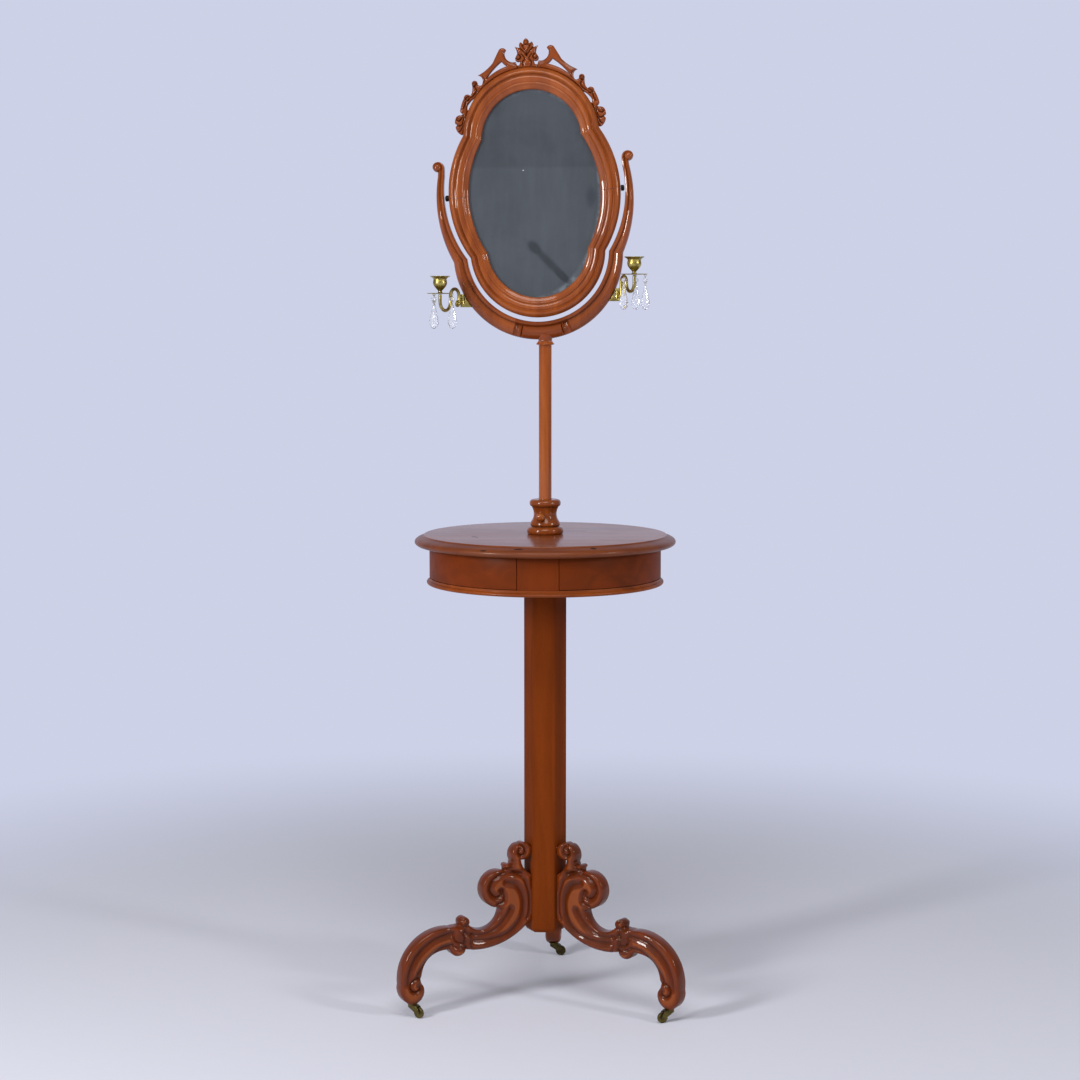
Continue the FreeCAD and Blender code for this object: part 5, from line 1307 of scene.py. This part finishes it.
class MakeMirror(StandOperator, bpy.types.Operator):
    """Runs the mirror frame's moulding and finishes the glass and its back board"""
    bl_idname = "stand.mirror"
    bl_label = "Mirror frame and glass"

    def execute(self, context):
        # painted shade in the moulding's two grooves
        painted_groove_shade = [max(0.0, *(0.3 * (1 - abs(u - at) / 0.03) for at in MOULDING_GROOVES)) if height > 0 else 0.0
                for u, height in MOULDING]
        for half, runs in FRAME_HALVES.items():
            rings, mitres = [], []
            for name, first, last, count in runs:
                marks = [first + (last - first) * i / (count - 1) for i in range(count)]
                if first == 0.5:
                    marks.insert(1, 0.502)
                if last == 0.5:
                    marks.insert(-1, 0.498)
                if rings:
                    mitres.append(rings[-1])
                    marks = marks[1:]
                rings += [frame_ring(*FRAME_RUNS[name], mark) for mark in marks]
            seam = FRAME_SEAM if half == "upper" else -FRAME_SEAM
            for end in (0, -1):
                rings[end] = [(x, y, z + seam) for x, y, z in rings[end]]
            piece = Form().skin(rings, tint=painted_groove_shade, ends=1.0).piece("mirror_frame_" + half, crease=31.0)
            fitted(creased(piece, mitres), "mirror", "mahogany", mahogany("Z", 0.35, -0.06), "frame_" + half)

        plain("mirror_glass", finish_of("old_glass", old_glass, context.scene.stand_finish))
        piece = softened("back_panel", "back_board", 0.6, crease=38.0)
        fitted(piece, "mirror", "secondary_wood", finish_of("bare_wood", bare_wood), "back_board")

        ring = []
        for name in ("right", "top", "left", "bottom"):
            for x, z in along_arc(*FRAME_RUNS[name][1], 12)[:-1]:
                ring.append(in_head(x * 0.985, 8.52, (z - PIVOT_HEIGHT) * 0.985 + PIVOT_HEIGHT))
        spacing = context.scene.stand_sizes.screw_spacing
        mesh = grown(path_object("screw_path", [ring], closed=True), screw_row_tree(), "back_screws",
                     {"Spacing": spacing, "Facing": (0.0, 1.0, 0.0), "Finish": brass()})
        fitted(settle(mesh, "back_screws", 30.0), "mirror", "brass", brass())
        return {"FINISHED"}


class MakeCrest(StandOperator, bpy.types.Operator):
    """Carves the pierced crest over the mirror"""
    bl_idname = "stand.crest"
    bl_label = "Carved crest"

    def execute(self, context):
        step = context.scene.stand_sizes.crest_grid / MM
        for node, (hand, seams, buds) in CREST_BOARDS.items():
            loops = board_loops(node, Vector((1, 0, 0)), UP, Vector((0, -1, 0)), 5.0)
            if not loops:
                raise RuntimeError("no outline was found on " + node)
            points, faces, recess = carved(loops, step, *crest_relief(hand, seams, buds))
            piece = Form().add(points, faces, recess).piece(node + "_carved", crease=85.0)
            fitted(piece, "mirror", "mahogany", mahogany("Z", 0.8), node)
        return {"FINISHED"}


SCONCES = {
    # hinge x, pan height, knuckle drop, (upper bend height, upper bend radius), swing
    "left": (-141.371, 1230.775, 0.5, (-4.0, 12.5), 240.4),
    "right": (122.641, 1262.690, 22.0, (-12.0, 10.0), -62.8),
}
SCONCE_REACH = 66.0
LOWER_BEND, LOWER_BEND_HEIGHT = 15.0, -13.0
DROPS = {
    # place round the pan, direction of the drop's flat side
    "left": ((5.0, 14.0), (125.0, -18.0), (245.0, 10.0)),
    "right": ((-25.0, 20.0), (84.0, -6.0), (215.0, -16.0)),
}


def pan_centre(side):
    x, height, _, _, swing = SCONCES[side]
    px, py = polar((x, 0), SCONCE_REACH, swing)
    return px, py, height


PAN = (
    (0, 0.0), (8.0, 0.0), (19.0, 0.15), (21.6, 0.5), (22.3, 0.95), (22.5, 1.3), (22.1, 1.6), (21.5, 1.5),
    (19.0, 1.15), (8.0, 1.0), (0, 1.0),
)
CUP = (
    (0, 0.9), (5.2, 0.9), (5.4, 1.6), (4.4, 2.3), (3.4, 3.0), (3.2, 4.4), (3.5, 5.6), (4.6, 6.8), (6.8, 9.0),
    (9.0, 11.6), (10.8, 14.4), (11.7, 17.2), (11.75, 20.0), (11.3, 22.6), (10.9, 24.4), (11.4, 25.6), (13.2, 27.2),
    (15.6, 28.6), (17.0, 29.5), (17.0, 30.1), (16.4, 30.2), (12.6, 29.2), (9.9, 28.2), (9.6, 27.0), (9.5, 16.8),
    (0, 16.7),
)
BARREL = (
    # radius, height from the knuckle's middle
    (1.86, -5.9), (3.7, -5.9), (4.0, -5.5), (4.0, -0.6), (3.7, 0.0), (4.0, 0.6), (4.0, 5.5), (3.7, 5.9), (1.86, 5.9),
)


def arm_line(scroll, knuckle, high, bend):
    """A sconce arm from its pan back to its scroll, as distances from the hinge and heights from the pan."""
    foot = knuckle - 4.0
    line = [(SCONCE_REACH, -0.6), (SCONCE_REACH, LOWER_BEND_HEIGHT)]
    for centre, radius, angles in (
            ((SCONCE_REACH - LOWER_BEND, LOWER_BEND_HEIGHT), LOWER_BEND, range(-12, -181, -12)),
            ((scroll + bend, high), bend, range(0, 181, 12)),
            ((scroll, foot), 0.0, (0,)),
            ((scroll + 4.4, foot), 4.4, range(195, 376, 15)),
            ((scroll + 5.2, foot + 0.8), 2.6, (30, 70, 110))):
        line += [polar(centre, radius, a) for a in angles]
    return line


class MakeSconces(StandOperator, bpy.types.Operator):
    """Bends the brass arms and turns the pans and candle cups"""
    bl_idname = "stand.sconces"
    bl_label = "Candle sconces"

    def execute(self, context):
        rod = bent_rod_tree()
        for side, (x, height, drop, (high, bend), swing) in SCONCES.items():
            scroll = SCONCE_REACH - 2 * LOWER_BEND - 2 * bend
            knuckle = -drop - 11.0
            place = standing_at((x, 0), height, swing)
            line = arm_line(scroll, knuckle, high, bend)
            tapered = len(line) - 14
            run = [(*place(r, 0, z), 1.0 - 0.45 * max(0.0, (i - tapered) / 14)) for i, (r, z) in enumerate(line)]
            form = form_of(grown(path_object("arm_path_" + side, [run]), rod, "arm_" + side,
                                 {"Radius": 0.0028, "Sides": 20, "Finish": brass()}))
            centre = pan_centre(side)
            form.turn(PAN, 64, centre, closed=False)
            form.turn(eased(CUP, 0.9, 2, closed=False), 48, centre, closed=False)
            form.turn([(r, knuckle + z) for r, z in BARREL], 28, (x, 0, height))
            web = eased([(-2.0, -5.4), (2.0, -5.4), (2.0, 5.4), (-2.0, 5.4)], 0.7, 2)
            form.skin([[place(r, w, knuckle + z) for w, z in web] for r in (2.2, max(scroll, 3.2))])
            sconce = "sconce_" + side
            fitted(form.piece("sconce_brass_" + side, crease=35.0), sconce, "brass", brass(), sconce)
        piece = softened("sconce_hinge_plates", "sconce_brackets", 0.5)
        fitted(piece, "yoke", "brass", brass(), "sconce_brackets")
        return {"FINISHED"}


def cut_glass(form, levels, place, sides, thick=1.0):
    """A cut drop: rings of flat facets turned half a facet from ring to ring; levels are (radius, height)."""
    points, faces = [], []
    for i, (radius, height) in enumerate(levels):
        for k in range(sides):
            a = 2 * math.pi * (k + i % 2 * 0.5) / sides
            points.append(place(radius * math.cos(a), radius * thick * math.sin(a), height))
    for i in range(len(levels) - 1):
        for k in range(sides):
            a, b = i * sides + k, i * sides + (k + 1) % sides
            c, d = a + sides, b + sides
            faces += [(a, d, c), (a, b, d)] if i % 2 else [(a, b, c), (b, d, c)]
    faces.append(tuple(range(sides))[::-1])
    faces.append(tuple((len(levels) - 1) * sides + k for k in range(sides)))
    form.add(points, faces)


BEAD = ((0.9, -4.6), (2.6, -5.6), (4.4, -7.6), (4.45, -10.4), (2.6, -12.6), (0.9, -13.4))
DROP_CIRCLE, DROP_TOP = 20.5, -17.6
DROP = (
    # radius, height under the drop's top
    (1.2, 0.0), (2.4, 1.6), (2.9, 6.0), (4.4, 13.0), (6.6, 21.0), (7.9, 28.5), (7.5, 33.5), (5.0, 38.0), (1.6, 40.6),
)


class MakeDrops(StandOperator, bpy.types.Operator):
    """Cuts the crystal drops and strings them on wire links"""
    bl_idname = "stand.drops"
    bl_label = "Crystal drops"

    def execute(self, context):
        links = wire_link_tree()
        crystal = finish_of("cut_crystal", cut_crystal)
        for side, azimuths in DROPS.items():
            cx, cy, height = pan_centre(side)
            for i, (azimuth, flat) in enumerate(azimuths, 1):
                name = "crystal_drop_%s_%d" % (side, i)
                hung = standing_at(polar((cx, cy), DROP_CIRCLE, azimuth), height, flat)
                form = Form()
                cut_glass(form, BEAD, hung, 8)
                cut_glass(form, [(r, DROP_TOP - z) for r, z in DROP], hung, 10, 0.52)
                fitted(form.piece(name + "_cut", flat=True), name, "crystal", crystal, name)
                run = [[hung(0, 0, z) for z in ends] for ends in ((-1.2, -4.5), (-13.8, DROP_TOP))]
                mesh = grown(path_object("wire_path", run), links, name + "_wires",
                             {"Pitch": 0.0028, "Link": 0.0017, "Wire": 0.00034, "Finish": brass()})
                fitted(settle(mesh, name + "_wires", 60.0), name, "brass", brass())
        return {"FINISHED"}


CASTOR_HEADINGS = {"left": 330.0, "right": 210.0, "rear": 355.0}
CASTOR_CIRCLE, CASTOR_TRAIL, AXLE_HEIGHT = 254.0, 14.0, 9.4
WHEEL = (
    # radius, place along the axle
    (1.56, -3.4), (2.6, -3.5), (3.4, -3.1), (5.8, -2.5), (7.2, -2.9), (8.4, -2.9), (9.1, -2.1), (9.4, -0.9),
    (9.4, 0.9), (9.1, 2.1), (8.4, 2.9), (7.2, 2.9), (5.8, 2.5), (3.4, 3.1), (2.6, 3.5), (1.56, 3.4),
)


class MakeCastors(StandOperator, bpy.types.Operator):
    """Finishes the brass castors"""
    bl_idname = "stand.castors"
    bl_label = "Brass castors"

    def execute(self, context):
        for side, azimuth in LEG_AZIMUTHS.items():
            foot = polar((0, 0), CASTOR_CIRCLE, azimuth - 90)
            heading = CASTOR_HEADINGS[side]
            stood = standing_at(polar(foot, CASTOR_TRAIL, heading), AXLE_HEIGHT, heading)

            def on_axle(x, y, z, stood=stood):
                return stood(x, z, y)

            finish = brass(1.0 if side == "rear" else 0.8)
            piece = Form().turn(WHEEL, 40, place=on_axle).piece("castor_roller_" + side, crease=38.0)
            fitted(piece, "castor_wheel_" + side, "brass", finish, "castor_wheel_" + side)
            piece = softened("castor_horn_" + side, "castor_fork_" + side, 0.35)
            fitted(piece, "castor_fork_" + side, "brass", finish, "castor_fork_" + side)
        piece = softened("castor_socket_plates", "castor_plates", 0.35)
        fitted(piece, "stand", "brass", brass(0.8), "castor_plates")
        return {"FINISHED"}


FLOOR_REACH = 12.0
LAMP_TINT = (1.0, 0.98, 0.96)
CAMERA_PLACE = Vector((0.23505, -3.85845, 1.22125))
CAMERA_FORWARD = Vector((-0.06275818, 0.99237819, -0.10605156))


def linked(name, data, place, forward):
    """A lamp or camera that stands at a place and looks along a direction."""
    holder = bpy.data.objects.new(name, data)
    holder.matrix_world = Matrix.Translation(place) @ forward.to_track_quat("-Z", "Y").to_matrix().to_4x4()
    bpy.context.scene.collection.objects.link(holder)
    return holder


def softbox(name, place, target, size, power, tint=LAMP_TINT):
    lamp = bpy.data.lights.new(name, "AREA")
    lamp.shape = "RECTANGLE"
    lamp.size, lamp.size_y = size
    lamp.energy = power
    lamp.color = tint
    linked(name, lamp, place, Vector(target) - Vector(place))


def lay_floor(settings):
    """A matt floor that glows into the backdrop's colour far out."""
    mesh = bpy.data.meshes.new("studio_floor")
    corners = [(x * FLOOR_REACH, y * FLOOR_REACH, 0) for x, y in ((-1, -1), (1, -1), (1, 1), (-1, 1))]
    mesh.from_pydata(corners, [], [(0, 1, 2, 3)])
    floor = bpy.data.objects.new("studio_floor", mesh)
    bpy.context.scene.collection.objects.link(floor)
    make = Finish("floor_paper")
    across, deep = make.axis("X"), make.axis("Y")
    far = ((across * across + deep * deep) ** 0.5).limit(0.8, 2.3)
    paper = make.mix(make.noise(30.0, 3.0) * 0.05, tuple(settings.floor), (0.5, 0.5, 0.52))
    shader = make.node("ShaderNodeBsdfDiffuse", None, Color=paper)
    glow = make.node("ShaderNodeEmission", None, Color=tuple(settings.backdrop), Strength=1.0)
    blend = make.in_order("ShaderNodeMixShader", None, far, shader.outputs[0], glow.outputs[0])
    make.tree.links.new(blend, make.output.inputs[0])
    floor.data.materials.append(make.material)


def light_room(settings):
    """The backdrop for what looks straight at it, and a dim room for the rest."""
    world = bpy.data.worlds.new("studio")
    bpy.context.scene.world = world
    world.use_nodes = True
    make = Nodes(world.node_tree)
    make.tree.nodes.clear()
    path = make.node("ShaderNodeLightPath").outputs
    seen = make.node("ShaderNodeBackground", None, Color=tuple(settings.backdrop), Strength=1.0)
    room = make.node("ShaderNodeBackground", None, Color=(0.96, 0.97, 1.0), Strength=settings.fill)
    # the paper stands behind the piece: shiny surfaces turned forwards mirror the dim room instead
    place = make.node("ShaderNodeTexCoord").outputs["Generated"]
    towards = make.node("ShaderNodeSeparateXYZ", Vector=place)
    behind = make.rising(towards.outputs["Y"], 0.45, 0.85)
    straight = make.maths("MAXIMUM", path["Is Camera Ray"], path["Is Transmission Ray"])
    shine = make.maths("MULTIPLY_ADD", path["Is Glossy Ray"], behind, straight)
    mixed = make.in_order("ShaderNodeMixShader", None, shine, room.outputs[0], seen.outputs[0])
    make.node("ShaderNodeOutputWorld", Surface=mixed)


class MakeStage(StandOperator, bpy.types.Operator):
    """Lays the floor and sets the backdrop, lights and camera"""
    bl_idname = "stand.stage"
    bl_label = "Studio stage"

    def execute(self, context):
        settings = context.scene.stand_stage
        lay_floor(settings)
        light_room(settings)
        power = settings.softbox_power
        softbox("softbox_left", (-2.3, -2.3, 1.75), (0, 0, 0.95), (0.5, 1.0), power)
        softbox("softbox_right", (2.9, -1.6, 1.85), (0, 0, 0.95), (0.36, 0.7), power * 0.42)
        softbox("overhead", (0.1, -2.5, 3.7), (0, 0, 0.8), (2.4, 1.6), settings.overhead_power, (1.0, 0.98, 0.95))
        camera = bpy.data.cameras.new("studio_camera")
        camera.lens, camera.sensor_width, camera.sensor_fit = 75.13, 36.0, "HORIZONTAL"
        camera.clip_start, camera.clip_end = 0.05, 60.0
        context.scene.camera = linked("studio_camera", camera, CAMERA_PLACE, CAMERA_FORWARD)
        context.scene.view_settings.view_transform = "Standard"
        return {"FINISHED"}


class StandPanel(bpy.types.Panel):
    """Lists the stand's pieces and settings"""
    bl_idname = "STAND_PT_panel"
    bl_label = "Shaving Stand"
    bl_space_type = "VIEW_3D"
    bl_region_type = "UI"
    bl_category = "Shaving Stand"

    def draw(self, context):
        layout = self.layout
        for operator in OPERATORS:
            layout.operator(operator.bl_idname)
        for group in (context.scene.stand_finish, context.scene.stand_sizes, context.scene.stand_stage):
            box = layout.box()
            for name in group.__annotations__:
                box.prop(group, name)


OPERATORS = (MakeLegs, MakeColumn, MakeTable, MakePole, MakeYoke, MakeMirror, MakeCrest, MakeSconces, MakeDrops,
             MakeCastors, MakeStage)
CLASSES = (StandFinishSettings, StandSizeSettings, StageSettings) + OPERATORS + (StandPanel,)


def register():
    for cls in CLASSES:
        bpy.utils.register_class(cls)
    bpy.types.Scene.stand_finish = bpy.props.PointerProperty(type=StandFinishSettings)
    bpy.types.Scene.stand_sizes = bpy.props.PointerProperty(type=StandSizeSettings)
    bpy.types.Scene.stand_stage = bpy.props.PointerProperty(type=StageSettings)


def unregister():
    del bpy.types.Scene.stand_finish, bpy.types.Scene.stand_sizes, bpy.types.Scene.stand_stage
    for cls in reversed(CLASSES):
        bpy.utils.unregister_class(cls)


def main():
    register()
    bpy.ops.stand.legs()
    bpy.ops.stand.column()
    bpy.ops.stand.table()
    bpy.ops.stand.pole()
    bpy.ops.stand.yoke()
    bpy.ops.stand.mirror()
    bpy.ops.stand.crest()
    bpy.ops.stand.sconces()
    bpy.ops.stand.drops()
    bpy.ops.stand.castors()
    bpy.ops.stand.stage()


if __name__ == "__main__":
    main()
